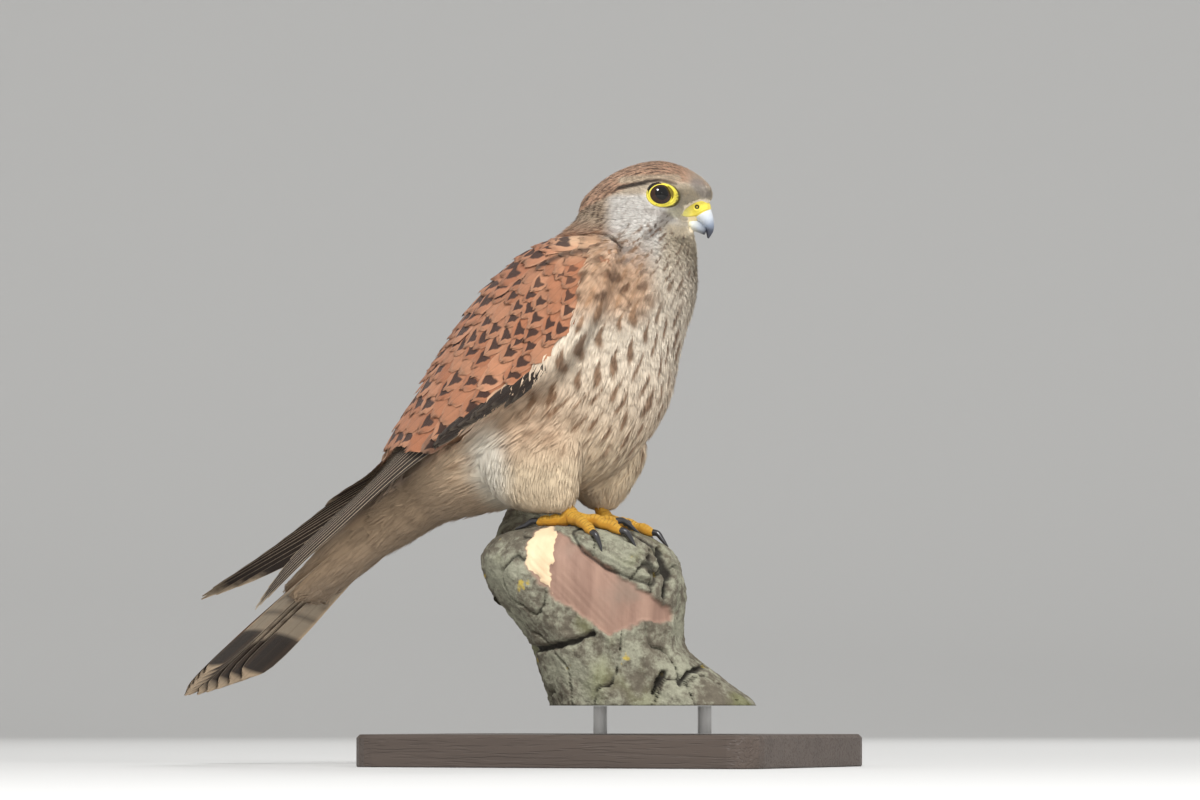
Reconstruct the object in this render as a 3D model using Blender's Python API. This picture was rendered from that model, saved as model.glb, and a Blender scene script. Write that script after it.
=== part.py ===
"""A female common kestrel, life size, standing on a short cut length of dead branch over a plain display stand.

The origin is the centre of the stand's underside. The bird faces +X, its left is +Y and +Z is up.
Sizes are in millimetres here, and become metres where each mesh is made.
"""

import math

import bmesh
import bpy
import numpy as np
from mathutils import Matrix, Vector
from mathutils.bvhtree import BVHTree

MM = 0.001
GAP = 0.3

# Where the bird's frame, the point between its feet, stands over the base.
FEET = Vector((-8, -4, 106))
PERCH_TURN = math.radians(25)

# The head's own frame: its centre in the bird's frame, and its turn to the bird's left.
HEAD_CENTRE = Vector((24, 0, 138.8))
HEAD_TURN = math.radians(17)

# The body from the tail root to the shoulders: back x and z, breast x and z, half width.
TRUNK = (
    (-94, 30, -75, -0.5, 15),
    (-86, 41, -50, 4.5, 25),
    (-74, 55, -16, 11, 32),
    (-61.5, 72, 13, 23, 36),
    (-48, 89, 33.5, 46, 37),
    (-35, 104.5, 41, 74, 36.5),
    (-22, 118, 48.4, 98, 34),
)
# The head in its own frame, from the neck over the crown to the bill, with the chin as the hinge.
HEAD = (
    (-28.2, -7.2, 25.4, -21.5, 21.5),
    (-26.3, 0, 25.2, -18.5, 20.7),
    (-20, 6.8, 24.3, -16.3, 20.2),
    (-10, 13.2, 24, -14.8, 19.7),
    (1, 16.9, 23.8, -13.8, 19.2),
    (11, 17.4, 23.6, -13.2, 18.4),
    (20.5, 14.3, 23.5, -12.8, 16.4),
    (27.6, 9.8, 24, -12.5, 13),
    (31.2, 5.2, 24, -12.3, 9.6),
    (31.2, 0.6, 23.8, -12.1, 6.6),
)
BODY_SIDES = 30
T_NECK = 5.55
T_HEAD = len(TRUNK) + 0.0
T_FACE = len(TRUNK) + len(HEAD) - 1.0

EYE_PLACE = Vector((9.8, 14.7, 1.2))
EYE_RADIUS = 6
EYE_FORWARD = math.radians(24)
LID_TUBE = 0.8
LID_FRONT, LID_REAR, LID_HEIGHT = 6.5, 5.4, 4.5

# The bill in the head's frame, from inside the face to the hooked tip: culmen x and z, edge x and z, half width.
CERE = (
    (22, 0, 14, -5, 5),
    (27.6, 0, 17.6, -6.6, 5.8),
    (30.4, -1.3, 20.8, -7.3, 5.6),
    (31, -3.9, 23.6, -8.2, 4.9),
)
BILL = (
    (31, -3.9, 23.6, -8.2, 4.9),
    (31.9, -7, 25.4, -9.5, 3.9),
    (32.3, -10.4, 27.3, -11.4, 2.7),
    (31.9, -13.6, 28.6, -13.2, 1.5),
    (30, -16.6, 29.3, -16.2, 0.35),
)
MANDIBLE = (
    (13, -7.4, 13, -12, 4.6),
    (18, -7.9, 18, -12.3, 4.8),
    (22, -8.9, 21.8, -12.9, 4.2),
    (25.2, -10.5, 24.9, -13.3, 2.9),
    (27, -12, 26.7, -13.3, 1.2),
)
NOSTRIL = Vector((25.6, 5.2, -3.4))

# The tail: where the feathers would meet inside the rump, and its slope below the horizon.
TAIL_ROOT = Vector((-79, 0, 20.5))
TAIL_SLOPE = math.radians(39.5)
TAIL_ROLL = math.radians(6)
TAIL_PAIRS = 6
TAIL_LENGTH = 152
TAIL_STEP_SHORTER = 3.6
# Its covered core along the feathers: way out, half width, height of the upper side, depth of the lower side.
TAIL = (
    (40, 16, 11.5, 12),
    (55, 17, 9, 9.8),
    (70, 18, 6.6, 7.2),
    (80, 17, 5.4, 5),
)
TAIL_VANE_RISE = 3.4
TAIL_FEATHER_START = 52
TAIL_SHAPE = ((0, 0.5), (0.25, 0.78), (0.55, 0.95), (0.8, 1), (0.92, 0.88), (0.975, 0.6), (1, 0.25))

# Every feather vane's thickness, the step from one layer to the next, and how a vane widens from root to tip.
VANE_THICK = 0.52
VANE_STEP = 0.88
ROUND_TIP = ((0, 0.55), (0.18, 0.85), (0.45, 1), (0.72, 1), (0.88, 0.84), (0.96, 0.55), (1, 0.16))
POINTED_TIP = ((0, 0.6), (0.2, 0.95), (0.42, 1), (0.64, 0.86), (0.82, 0.62), (0.94, 0.36), (1, 0.08))

# The feathers of a folded wing: root s and c, tip s and c, half width, from the lowest layer to the highest.
# The wing's outermost primary is the lowest and its innermost tertial is the highest.
FLIGHT = (
    (0.42, 0.07, 0.955, 0.17, 5.4, POINTED_TIP),
    (0.42, 0.15, 1.0, 0.36, 5.8, POINTED_TIP),
    (0.42, 0.22, 0.985, 0.52, 5.8, POINTED_TIP),
    (0.42, 0.29, 0.93, 0.62, 5.9, POINTED_TIP),
    (0.42, 0.36, 0.875, 0.70, 5.9, POINTED_TIP),
    (0.42, 0.43, 0.82, 0.76, 6, POINTED_TIP),
    (0.42, 0.50, 0.775, 0.80, 6, ROUND_TIP),
    (0.42, 0.58, 0.735, 0.80, 6, ROUND_TIP),
    (0.42, 0.66, 0.71, 0.82, 6.2, ROUND_TIP),
    (0.42, 0.74, 0.69, 0.84, 6.4, ROUND_TIP),
    (0.42, 0.82, 0.665, 0.87, 6.4, ROUND_TIP),
    (0.42, 0.90, 0.635, 0.90, 6.2, ROUND_TIP),
)
FLIGHT_LIFT = 1.75
COVERT_ROOT = 0.40
COVERT_TIP = (0.575, 0.60)
COVERTS = 8
COVERT_HALF = 5
COVERT_LIFT = 4.6
PAD_END = (0.475, 0.50)
PAD_ACROSS = (0, 0.03, 0.1, 0.28, 0.5, 0.72, 0.9, 0.97, 1)

# A folded wing from wrist to tip: lower edge, upper edge, and how far the sheet bulges between them.
WING_RIGHT = (
    (27, -30, 117, 21, -25, 120, 1),
    (25, -36, 100, -12, -21, 113, 5),
    (14, -39, 76, -38, -14, 102, 8),
    (-1, -40, 60, -55, -9, 83, 9),
    (-23, -40, 49, -68, -7, 61.5, 9),
    (-48, -37, 35, -80, -7, 41, 7),
    (-73, -33, 21, -94, -8, 21, 5),
    (-104, -28, -1, -113, -12, 5, 3),
    (-131, -28, -22.5, -137.5, -18, -16, 1.5),
    (-148.5, -28, -40, -153.5, -20.5, -34.5, 0.5),
)
# The left wing, drawn as if it were on the right, held looser and higher.
WING_LEFT = (
    (27, -30, 117, 21, -25, 120, 1),
    (24, -36, 101, -12, -21, 113, 5),
    (13, -39, 78, -38, -14, 102, 8),
    (-2, -40, 62, -58, -9, 84, 10),
    (-26, -40, 51, -75, -8, 63, 10),
    (-52, -38, 38, -90, -11, 46, 8),
    (-82, -34, 25, -111, -16, 28, 5),
    (-118, -29, 5, -141, -19, 14, 3),
    (-159, -26, -15.5, -172, -18, -6.5, 1),
    (-203, -24, -34.5, -210, -17, -27.5, 0.5),
)
WING_CLEAR = 1.6
PAD_THICK = 5.8

# The feathered thighs: centre x, y and z, half size along the bird and across it.
THIGH_RIGHT = (
    (-10, -13, 62, 18, 10),
    (-15, -18.5, 45, 24, 15),
    (-18.5, -22, 28, 25.8, 16.5),
    (-16.5, -22, 14, 21.5, 14),
    (-13, -21, 6.5, 15.5, 10.5),
    (-10, -20.5, 4, 10, 7),
)
THIGH_LEFT = (
    (-8, 13, 62, 16, 10),
    (-8, 17.5, 45, 23, 15),
    (-7.5, 20.5, 30, 25, 16),
    (-6, 20, 17.5, 17.5, 13),
    (-4, 19.5, 10, 10.5, 9),
    (-3, 19, 7, 7, 6),
)

# Each foot: its joint, then every toe's end as x and y with its radius. The first toe points back.
FOOT_RIGHT = ((0, -20, 2.2), ((-13, -23, 1.9), (16, -9, 1.9), (26, -22, 2), (17, -33, 1.8)))
FOOT_LEFT = ((-1, 17, 2.2), ((-14, 19, 1.9), (14, 8, 1.9), (24, 18, 2), (15, 29, 1.8)))
TARSUS_RADIUS = 2.9
CLAW_LENGTHS = (11, 11, 10, 9)
CLAW_NAMES = ("back", "inner", "middle", "outer")

# The perch in level slices: height below the feet, its two sides as the photo sees them, half depth, depth shift.
PERCH = (
    (-2.6, -27, 14, 23, 0),
    (-4.6, -36, 21, 27, 0),
    (-7.5, -42, 28, 31, 0),
    (-12, -46, 35, 34, 0),
    (-17, -47, 39, 36, 0),
    (-29.6, -42, 41.5, 37, 1),
    (-42.6, -33, 40.5, 37, 2),
    (-55.7, -25.5, 42.6, 37, 3),
    (-68.7, -21.3, 58.7, 38, 4),
    (-79.6, -16.5, 72.6, 40, 5),
)
PERCH_HEIGHTS = (-2.6, -4.6, -7.5, -12, -17, -23, -29.6, -36, -42.6, -49, -55.7, -62, -68.7, -74, -79.6)
PERCH_SIDES = 32
STUB = ((-33, 3, -27), (-41, 17, -14), (-50, 46, 2), (-58, 70, 16))
STUB_RADII = (15, 13.5, 12.5, 12)

BASE_SIZE = (190, 130, 14)
BASE_CORNER = 12
ROD_RADIUS = 3
ROD_PLACES = ((-4, -2), (37, 17))


def ensure_collection(name):
    made = bpy.data.collections.new(name)
    bpy.context.scene.collection.children.link(made)
    return made


def material(name, colour, roughness=0.8, metallic=0.0):
    made = bpy.data.materials.get(name)
    if made is None:
        made = bpy.data.materials.new(name)
        made.use_nodes = True
        shader = made.node_tree.nodes["Principled BSDF"]
        shader.inputs["Base Color"].default_value = (*colour, 1)
        shader.inputs["Roughness"].default_value = roughness
        shader.inputs["Metallic"].default_value = metallic
    return made


def finish(bm, name, paint, parent, smooth=True):
    """Makes the object of one closed mesh, whose points are millimetres in its parent's frame."""
    bmesh.ops.recalc_face_normals(bm, faces=bm.faces)
    bmesh.ops.scale(bm, vec=(MM, MM, MM), verts=bm.verts)
    mesh = bpy.data.meshes.new(name)
    bm.to_mesh(mesh)
    bm.free()
    if smooth:
        mesh.shade_smooth()
        mesh.set_sharp_from_angle(angle=math.radians(50))
    mesh.materials.append(paint)
    made = bpy.data.objects.new(name, mesh)
    PARTS.objects.link(made)
    made.parent = parent
    return made


def loft(rings, name, paint, parent):
    """A closed skin through rings of points, with a flat cap at each end."""
    bm = bmesh.new()
    loops = [[bm.verts.new(p) for p in ring] for ring in rings]
    count = len(rings[0])
    for low, high in zip(loops, loops[1:]):
        for i in range(count):
            j = (i + 1) % count
            bm.faces.new((low[i], low[j], high[j], high[i]))
    bm.faces.new(loops[0])
    bm.faces.new(reversed(loops[-1]))
    return finish(bm, name, paint, parent)


def tube(points, radii, name, paint, parent, sides=8):
    """A round tapering limb along a line of points."""
    points = [Vector(p) for p in points]
    rings = []
    side = Vector((0.13, 1, 0.07))
    for i, point in enumerate(points):
        along = points[min(i + 1, len(points) - 1)] - points[max(i - 1, 0)]
        side = along.cross(side).cross(along).normalized()
        up = side.cross(along).normalized()
        turns = [math.tau * k / sides for k in range(sides)]
        rings.append([point + radii[i] * (math.cos(a) * side + math.sin(a) * up) for a in turns])
    return loft(rings, name, paint, parent)


def ball(centre, radius, name, paint, parent, segments=24, rings=12, stretch=(1, 1, 1)):
    bm = bmesh.new()
    bmesh.ops.create_uvsphere(bm, u_segments=segments, v_segments=rings, radius=radius)
    bmesh.ops.scale(bm, vec=stretch, verts=bm.verts)
    bmesh.ops.translate(bm, vec=centre, verts=bm.verts)
    return finish(bm, name, paint, parent)


def largest_surface(obj):
    """Keeps only the largest closed surface of a mesh, which fills a sealed hollow and drops a loose scrap."""
    bm = bmesh.new()
    bm.from_mesh(obj.data)
    unseen = set(bm.verts)
    islands = []
    while unseen:
        stack = [unseen.pop()]
        island = set(stack)
        while stack:
            for edge in stack.pop().link_edges:
                for vert in edge.verts:
                    if vert in unseen:
                        unseen.discard(vert)
                        island.add(vert)
                        stack.append(vert)
        islands.append(island)

    def reach(island):
        corners = np.array([v.co for v in island])
        return float(np.ptp(corners, axis=0).sum())

    keep = max(islands, key=reach)
    bmesh.ops.delete(bm, geom=[v for v in bm.verts if v not in keep], context="VERTS")
    bm.to_mesh(obj.data)
    bm.free()


def apply_boolean(obj, operation, tools, solver="EXACT"):
    """Joins or cuts obj with a collection of closed meshes, which are then removed."""
    box = ensure_collection(obj.name + "_tools")
    for tool in tools:
        for old in tool.users_collection:
            old.objects.unlink(tool)
        box.objects.link(tool)
    modifier = obj.modifiers.new(operation.lower(), "BOOLEAN")
    modifier.operation = operation
    modifier.operand_type = "COLLECTION"
    modifier.collection = box
    modifier.solver = solver
    bpy.context.view_layer.update()
    evaluated = obj.evaluated_get(bpy.context.evaluated_depsgraph_get())
    result = bpy.data.meshes.new_from_object(evaluated)
    obj.modifiers.remove(modifier)
    obj.data = result
    for tool in tools:
        bpy.data.objects.remove(tool)
    bpy.data.collections.remove(box)
    largest_surface(obj)
    return obj


def between(values, t):
    """A smooth curve through evenly spaced values, read at t."""
    values = np.asarray(values, float)
    last = len(values) - 1
    i = int(min(max(math.floor(t), 0), last - 1))
    f = min(max(t, 0), last) - i
    before, start, end, after = (values[min(max(k, 0), last)] for k in (i - 1, i, i + 1, i + 2))
    slope_in, slope_out = (end - before) / 2, (after - start) / 2
    f2, f3 = f * f, f * f * f
    hermite = (2 * f3 - 3 * f2 + 1, f3 - 2 * f2 + f, -2 * f3 + 3 * f2, f3 - f2)
    return hermite[0] * start + hermite[1] * slope_in + hermite[2] * end + hermite[3] * slope_out


HEAD_PLACE = Matrix.Translation(HEAD_CENTRE) @ Matrix.Rotation(HEAD_TURN, 4, "Z")
HEAD_PLACE_INVERSE = HEAD_PLACE.inverted()


def head_point(point):
    """A point of the head's own frame, in the bird's frame."""
    return HEAD_PLACE @ Vector(point)


def body_stations():
    """Back point, breast point, half width and turn of every station, all in the bird's frame."""
    rows = [(bx, 0, bz, fx, 0, fz, width, 0) for bx, bz, fx, fz, width in TRUNK]
    for bx, bz, fx, fz, width in HEAD:
        back, front = head_point((bx, 0, bz)), head_point((fx, 0, fz))
        rows.append((*back, *front, width, HEAD_TURN))
    rows[len(TRUNK) - 1] = (*rows[len(TRUNK) - 1][:7], HEAD_TURN * 0.15)
    return rows


BODY = body_stations()


def ease(value):
    """A smooth step from 0 to 1."""
    value = min(max(value, 0), 1)
    return value * value * (3 - 2 * value)


def narrow_face(point):
    """The face drawn in from the eyes towards the bill, below the forehead and above the throat."""
    local = HEAD_PLACE_INVERSE @ point
    pinch = 0.62 * ease((local.x - 9) / 14) * ease((5 - local.z) / 11) * ease((local.z + 20.5) / 5)
    local.y *= 1 - pinch
    return HEAD_PLACE @ local


def body_ring(t, grow=0.0, shift=0.0, sides=BODY_SIDES):
    """The body's outline at station t, moved by shift along the way to the head and widened by grow."""
    row = between(BODY, t)
    back, breast, width, turn = Vector(row[:3]), Vector(row[3:6]), row[6], row[7]
    middle, half = (back + breast) / 2, (back - breast) / 2
    lateral = Matrix.Rotation(turn, 3, "Z") @ Vector((0, 1, 0))
    lateral = (lateral - lateral.project(half)).normalized()
    ahead = lateral.cross(half).normalized()
    depth = half.length + grow
    ring = []
    for k in range(sides):
        a = math.tau * k / sides
        up, out = math.cos(a), math.sin(a)
        point = middle + half.normalized() * depth * up + lateral * (width + grow) * out + ahead * shift
        ring.append(narrow_face(point) if t > T_HEAD else point)
    return ring


def body_length(t0, t1, steps, name, paint, parent, grow=0.0, ends=(0.0, 0.0)):
    """The stretch of body from t0 to t1, with its two end faces moved by ends."""
    rings = []
    for k in range(steps + 1):
        shift = ends[0] if k == 0 else ends[1] if k == steps else 0.0
        rings.append(body_ring(t0 + (t1 - t0) * k / steps, grow, shift))
    return loft(rings, name, paint, parent)


def tail_axes():
    """The tail's way out, its left and its upper side."""
    along = Vector((-math.cos(TAIL_SLOPE), 0, -math.sin(TAIL_SLOPE)))
    roll = Matrix.Rotation(TAIL_ROLL, 3, along)
    return along, roll @ Vector((0, 1, 0)), roll @ Vector((-math.sin(TAIL_SLOPE), 0, math.cos(TAIL_SLOPE)))


def tail_rings():
    """The plain form of the tail, from the rump to the feathers' tips."""
    along, left, up = tail_axes()
    rings = [body_ring(0, shift=-GAP)]
    for reach, half, top, bottom in TAIL:
        ring = []
        for k in range(BODY_SIDES):
            a = math.tau * k / BODY_SIDES
            rise = top if math.cos(a) > 0 else bottom
            ring.append(TAIL_ROOT + along * reach + up * rise * math.cos(a) + left * half * math.sin(a))
        rings.append(ring)
    return rings


def tail_blade_rings():
    """The space that the tail's long feathers fill beyond their covered bases."""
    along, left, up = tail_axes()
    rings = []
    for reach, half in ((90, 21), (120, 24), (148, 24)):
        centre = TAIL_ROOT + along * reach + up * 0.4
        turns = [math.tau * k / BODY_SIDES for k in range(BODY_SIDES)]
        rings.append([centre + up * 3.6 * math.cos(a) + left * half * math.sin(a) for a in turns])
    return rings


class Sheet:
    """The outer face of a folded wing: a grid between its two edges, held clear of the trunk."""

    ALONG, ACROSS = 36, 10

    def __init__(self, rows, trunk, place=Matrix.Identity(4)):
        self.points = np.zeros((self.ALONG + 1, self.ACROSS + 1, 3))
        last = len(rows) - 1
        for i in range(self.ALONG + 1):
            row = between(rows, last * i / self.ALONG)
            low, high, bulge = Vector(row[:3]), Vector(row[3:6]), row[6]
            ahead = Vector(between(rows, min(last * i / self.ALONG + 0.2, last))[:3])
            behind = Vector(between(rows, max(last * i / self.ALONG - 0.2, 0))[:3])
            out = (high - low).cross(ahead - behind)
            out = out.normalized() if out.length > 1e-6 else Vector((0, -1, 0))
            if out.y > 0:
                out = -out
            for j in range(self.ACROSS + 1):
                c = j / self.ACROSS
                point = place @ (low.lerp(high, c) + out * bulge * 4 * c * (1 - c))
                self.points[i, j] = held_off(trunk, point, WING_CLEAR)
        for _ in range(3):
            inner = self.points[1:-1].copy()
            self.points[1:-1] = 0.5 * inner + 0.25 * (self.points[:-2] + self.points[2:])
            for place_in_grid in np.ndindex(self.ALONG + 1, self.ACROSS + 1):
                self.points[place_in_grid] = held_off(trunk, Vector(self.points[place_in_grid]), WING_CLEAR)
        self.side = -1 if place.determinant() > 0 else 1

    def raw(self, s, c):
        i, j = min(max(s, 0), 1) * self.ALONG, min(max(c, 0), 1) * self.ACROSS
        a, b = int(min(i, self.ALONG - 1)), int(min(j, self.ACROSS - 1))
        f, g = i - a, j - b
        p = self.points
        low = p[a, b] * (1 - f) + p[a + 1, b] * f
        high = p[a, b + 1] * (1 - f) + p[a + 1, b + 1] * f
        return Vector(low * (1 - g) + high * g)

    def normal(self, s, c):
        e = 0.02
        along = self.raw(min(s + e, 0.97), c) - self.raw(max(min(s, 0.93) - e, 0), c)
        s2 = min(s, 0.9)
        across = self.raw(s2, min(c + 0.1, 1)) - self.raw(s2, max(c - 0.1, 0))
        out = along.cross(across).normalized()
        return out if out.y * self.side > 0 else -out

    def at(self, s, c, lift=0.0):
        return self.raw(s, c) + self.normal(s, c) * lift


def vane(rows, name, paint, parent):
    """A closed feather vane from rows of (points across, outward direction), as thick as VANE_THICK."""
    bm = bmesh.new()
    faces_of = []
    for sign in (1, -1):
        faces_of.append([[bm.verts.new(p + out * VANE_THICK / 2 * sign) for p in points] for points, out in rows])
    top, bottom = faces_of
    across = len(rows[0][0]) - 1
    for i in range(len(rows) - 1):
        for j in range(across):
            for grid, turn in ((top, 1), (bottom, -1)):
                a, b, c, d = grid[i][j], grid[i][j + 1], grid[i + 1][j + 1], grid[i + 1][j]
                bm.faces.new((a, b, c)[::turn])
                bm.faces.new((a, c, d)[::turn])
        bm.faces.new((top[i][0], top[i + 1][0], bottom[i + 1][0], bottom[i][0]))
        bm.faces.new((top[i + 1][across], top[i][across], bottom[i][across], bottom[i + 1][across]))
    for i, turn in ((0, -1), (len(rows) - 1, 1)):
        for j in range(across):
            bm.faces.new((top[i][j], top[i][j + 1], bottom[i][j + 1], bottom[i][j])[::turn])
    return finish(bm, name, paint, parent, smooth=False)


def wing_vane(sheet, spec, height, fall, name):
    """One feather that follows the wing sheet, its height over the sheet falling by fall(s) from edge to edge."""
    root_s, root_c, tip_s, tip_c, half, shape = spec
    rows = []
    for t, share in shape:
        s = root_s + (tip_s - root_s) * t
        c = root_c + (tip_c - root_c) * t
        span = max((sheet.raw(s, 1) - sheet.raw(s, 0)).length, 1)
        reach = half * share / span
        places = [c + reach * side for side in (-1, 0, 1)]
        points = [sheet.at(s, place, height - fall(s) * place) for place in places]
        rows.append((points, sheet.normal(s, c)))
    return vane(rows, name, BACK, BIRD)


def flight_fall(s):
    """How much lower the layers lie at the wing's upper edge, so that the shingled feathers stay level."""
    blend = min(max((s - 0.6) / 0.3, 0), 1)
    return VANE_STEP * (len(FLIGHT) - 1) * (1 - blend) + VANE_STEP * 5.5 * blend


def covert_fall(s):
    return VANE_STEP * (COVERTS - 1) / 0.76


def wing_pad(sheet, name, paint, parent):
    """The covert-clad core of the wing, closed, from which the long feathers grow."""
    rings = []
    steps = 14
    for i in range(steps + 1):
        outer, inner = [], []
        for c in PAD_ACROSS:
            end = PAD_END[0] + (PAD_END[1] - PAD_END[0]) * c
            s = end * i / steps
            front = math.sin(math.pi / 2 * min(1, 0.22 + 6 * s))
            rounded, blunt = math.sin(math.pi * c) ** 0.5, min(1, 0.62 + 9 * min(c, 1 - c))
            blend = min(1, s / 0.28)
            edge = max(rounded * (1 - blend) + blunt * blend, 0.25) if 0 < c < 1 else 0.25 + 0.2 * blend
            outer.append(sheet.at(s, c, 0.2 + PAD_THICK * front * edge))
            inner.append(sheet.at(s, c, 0.0))
        rings.append(outer + inner[::-1])
    return loft(rings, name, paint, parent)


def make_wing(sheet, name):
    wing = wing_pad(sheet, name, BACK, BIRD)
    pieces = []
    for k, spec in enumerate(FLIGHT):
        pieces.append(wing_vane(sheet, spec, FLIGHT_LIFT + VANE_STEP * k, flight_fall, "flight"))
    for k in range(COVERTS):
        c = 0.12 + 0.76 * k / (COVERTS - 1)
        tip = COVERT_TIP[0] + (COVERT_TIP[1] - COVERT_TIP[0]) * c + 0.006 * (-1) ** k
        spec = (COVERT_ROOT, c, tip, c + 0.01, COVERT_HALF, ROUND_TIP)
        height = COVERT_LIFT + VANE_STEP * k + covert_fall(COVERT_ROOT) * 0.12
        pieces.append(wing_vane(sheet, spec, height, covert_fall, "covert"))
    return apply_boolean(wing, "UNION", pieces)


def tail_vane(number, side):
    """One tail feather. The middle pair lies on top and crosses, the others stop short of the middle."""
    along, left, up = tail_axes()
    length = TAIL_LENGTH - TAIL_STEP_SHORTER * (number - 1) * (0.5 + 0.1 * number)
    root_y, tip_y = 0.8 + 2.1 * (number - 1), 1.8 + 2.72 * (number - 1)
    layer = VANE_STEP if number == 1 and side > 0 else -VANE_STEP * (number - 1)
    rows = []
    for t, share in TAIL_SHAPE:
        reach = TAIL_FEATHER_START + (length - TAIL_FEATHER_START) * t
        centre = root_y + (tip_y - root_y) * t
        half = 9.6 * share
        low, high = centre - half, centre + half
        if number > 1:
            low = max(low, 0.4)
        points = []
        for y in (low, (low + high) / 2, high):
            rise = layer + TAIL_VANE_RISE - y * y / 200
            points.append(TAIL_ROOT + along * reach + left * side * y + up * rise)
        rows.append((points, up))
    return vane(rows, "tail_feather", TAIL_FEATHER, BIRD)


def make_tail():
    tail = loft(tail_rings(), "tail", TAIL_FEATHER, BIRD)
    pieces = [tail_vane(number, side) for number in range(1, TAIL_PAIRS + 1) for side in (-1, 1)]
    return apply_boolean(tail, "UNION", pieces)


def surface_tree(*lofts):
    """Lofts as one surface that other pieces are held clear of, its faces turned outwards."""
    points, faces = [], []
    for rings in lofts:
        first, count = len(points), len(rings[0])
        points += [p for ring in rings for p in ring]
        middle = sum(rings[len(rings) // 2], Vector()) / count
        new = []
        for r in range(len(rings) - 1):
            for k in range(count):
                n = (k + 1) % count
                low, high = first + r * count, first + (r + 1) * count
                new.append((low + k, low + n, high + n, high + k))
        sample = new[(len(rings) // 2) * count]
        corners = [points[i] for i in sample]
        normal = (corners[1] - corners[0]).cross(corners[3] - corners[0])
        if normal.dot(corners[0] - middle) < 0:
            new = [face[::-1] for face in new]
        for cap, ring in ((0, rings[0]), (len(rings) - 1, rings[-1])):
            centre = len(points)
            points.append(sum(ring, Vector()) / count)
            inward = sum(rings[min(max(cap, 1), len(rings) - 2)], Vector()) / count
            for k in range(count):
                n = (k + 1) % count
                face = (centre, first + cap * count + k, first + cap * count + n)
                c = [points[i] for i in face]
                out = (c[1] - c[0]).cross(c[2] - c[0])
                new.append(face if out.dot(c[0] - inward) > 0 else face[::-1])
        faces += new
    return BVHTree.FromPolygons(points, faces)


def held_off(tree, point, distance, rest=False):
    """The point moved out to a distance from a surface. With rest, it is also drawn in to it."""
    hit, normal, _, _ = tree.find_nearest(point)
    height = (point - hit).dot(normal)
    if height >= distance and not rest:
        return point
    if height > 0 and (point - hit).length > 1e-6:
        normal = (point - hit).normalized()
    return hit + normal * distance


def perch_point(height, angle, grow=0.0):
    """A point of the broken branch, whose slices are as wide as the photo sees them."""
    heights = [-row[0] for row in PERCH]
    rank = float(np.interp(-height, heights, range(len(PERCH))))
    _, low, high, depth, shift = between(PERCH, rank)
    turn = Vector((math.cos(PERCH_TURN), math.sin(PERCH_TURN), 0))
    away = Vector((-math.sin(PERCH_TURN), math.cos(PERCH_TURN), 0))
    c, s = math.cos(angle), math.sin(angle)
    square = (abs(c) ** 2.4 + abs(s) ** 2.4) ** (-1 / 2.4)
    ridges = 0.5 * math.sin(9 * angle + height / 11) + 0.35 * math.sin(17 * angle - height / 7)
    knots = 0.9 * math.sin(2.3 * angle + height / 16 + 1) * math.sin(1.7 * angle - height / 21)
    rough = (ridges + 1.2 * knots) * min(1, (-height) / 12) * min(1, (high - low) / 60)
    across = (high - low) / 2 + grow + rough
    deep = depth + grow + rough
    middle = (low + high) / 2
    return turn * (middle + across * square * c) + away * (shift + deep * square * s) + Vector((0, 0, height))


def perch_rings(grow=0.0):
    rings = []
    for height in PERCH_HEIGHTS:
        raised = Vector((0, 0, grow if height == PERCH_HEIGHTS[0] else 0))
        turns = [math.tau * k / PERCH_SIDES for k in range(PERCH_SIDES)]
        rings.append([perch_point(height, a, grow) + raised for a in turns])
    return rings


def round_plate(size, corner, low):
    """A plate with rounded corners and eased upper edges."""
    rings = []
    for height, inset in ((low, 0.6), (low + 0.6, 0), (low + size[2] - 1.5, 0), (low + size[2], 1.5)):
        ring = []
        for quarter in range(4):
            turn = quarter * math.pi / 2
            sx = 1 if quarter in (0, 3) else -1
            sy = 1 if quarter in (0, 1) else -1
            cx, cy = sx * (size[0] / 2 - corner), sy * (size[1] / 2 - corner)
            for k in range(6):
                a = turn + math.pi / 2 * k / 5
                reach = corner - inset
                ring.append(Vector((cx + reach * math.cos(a), cy + reach * math.sin(a), height)))
        rings.append(ring)
    return rings


def clear_scene():
    for old in list(bpy.data.objects):
        bpy.data.objects.remove(old)


def empty(name, place, parent=None):
    made = bpy.data.objects.new(name, None)
    made.matrix_local = place
    PARTS.objects.link(made)
    made.parent = parent
    return made


clear_scene()
PARTS = ensure_collection("kestrel")
BIRD = empty("bird", Matrix.Translation(FEET * MM))
HEAD_FRAME = Matrix.Translation(HEAD_CENTRE * MM) @ Matrix.Rotation(HEAD_TURN, 4, "Z")
HEAD_AXES = empty("head_axes", HEAD_FRAME, BIRD)

BACK = material("back_plumage", (0.52, 0.24, 0.13))
BREAST = material("breast_plumage", (0.72, 0.60, 0.45))
FACE = material("head_plumage", (0.55, 0.47, 0.38))
TAIL_FEATHER = material("tail_feathers", (0.50, 0.40, 0.30))
HORN = material("bill_horn", (0.20, 0.24, 0.30), 0.35)
CERE_SKIN = material("cere_skin", (0.85, 0.70, 0.12), 0.5)
EYE = material("eye", (0.02, 0.012, 0.01), 0.08)
FOOT_SKIN = material("foot_skin", (0.85, 0.50, 0.08), 0.55)
CLAW_HORN = material("claw_horn", (0.03, 0.03, 0.035), 0.3)
BARK = material("bark", (0.33, 0.32, 0.28), 0.9)
BASE_WOOD = material("stand_base", (0.10, 0.09, 0.085), 0.5)
ROD_METAL = material("stand_rod", (0.60, 0.60, 0.58), 0.35, 1.0)


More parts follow.
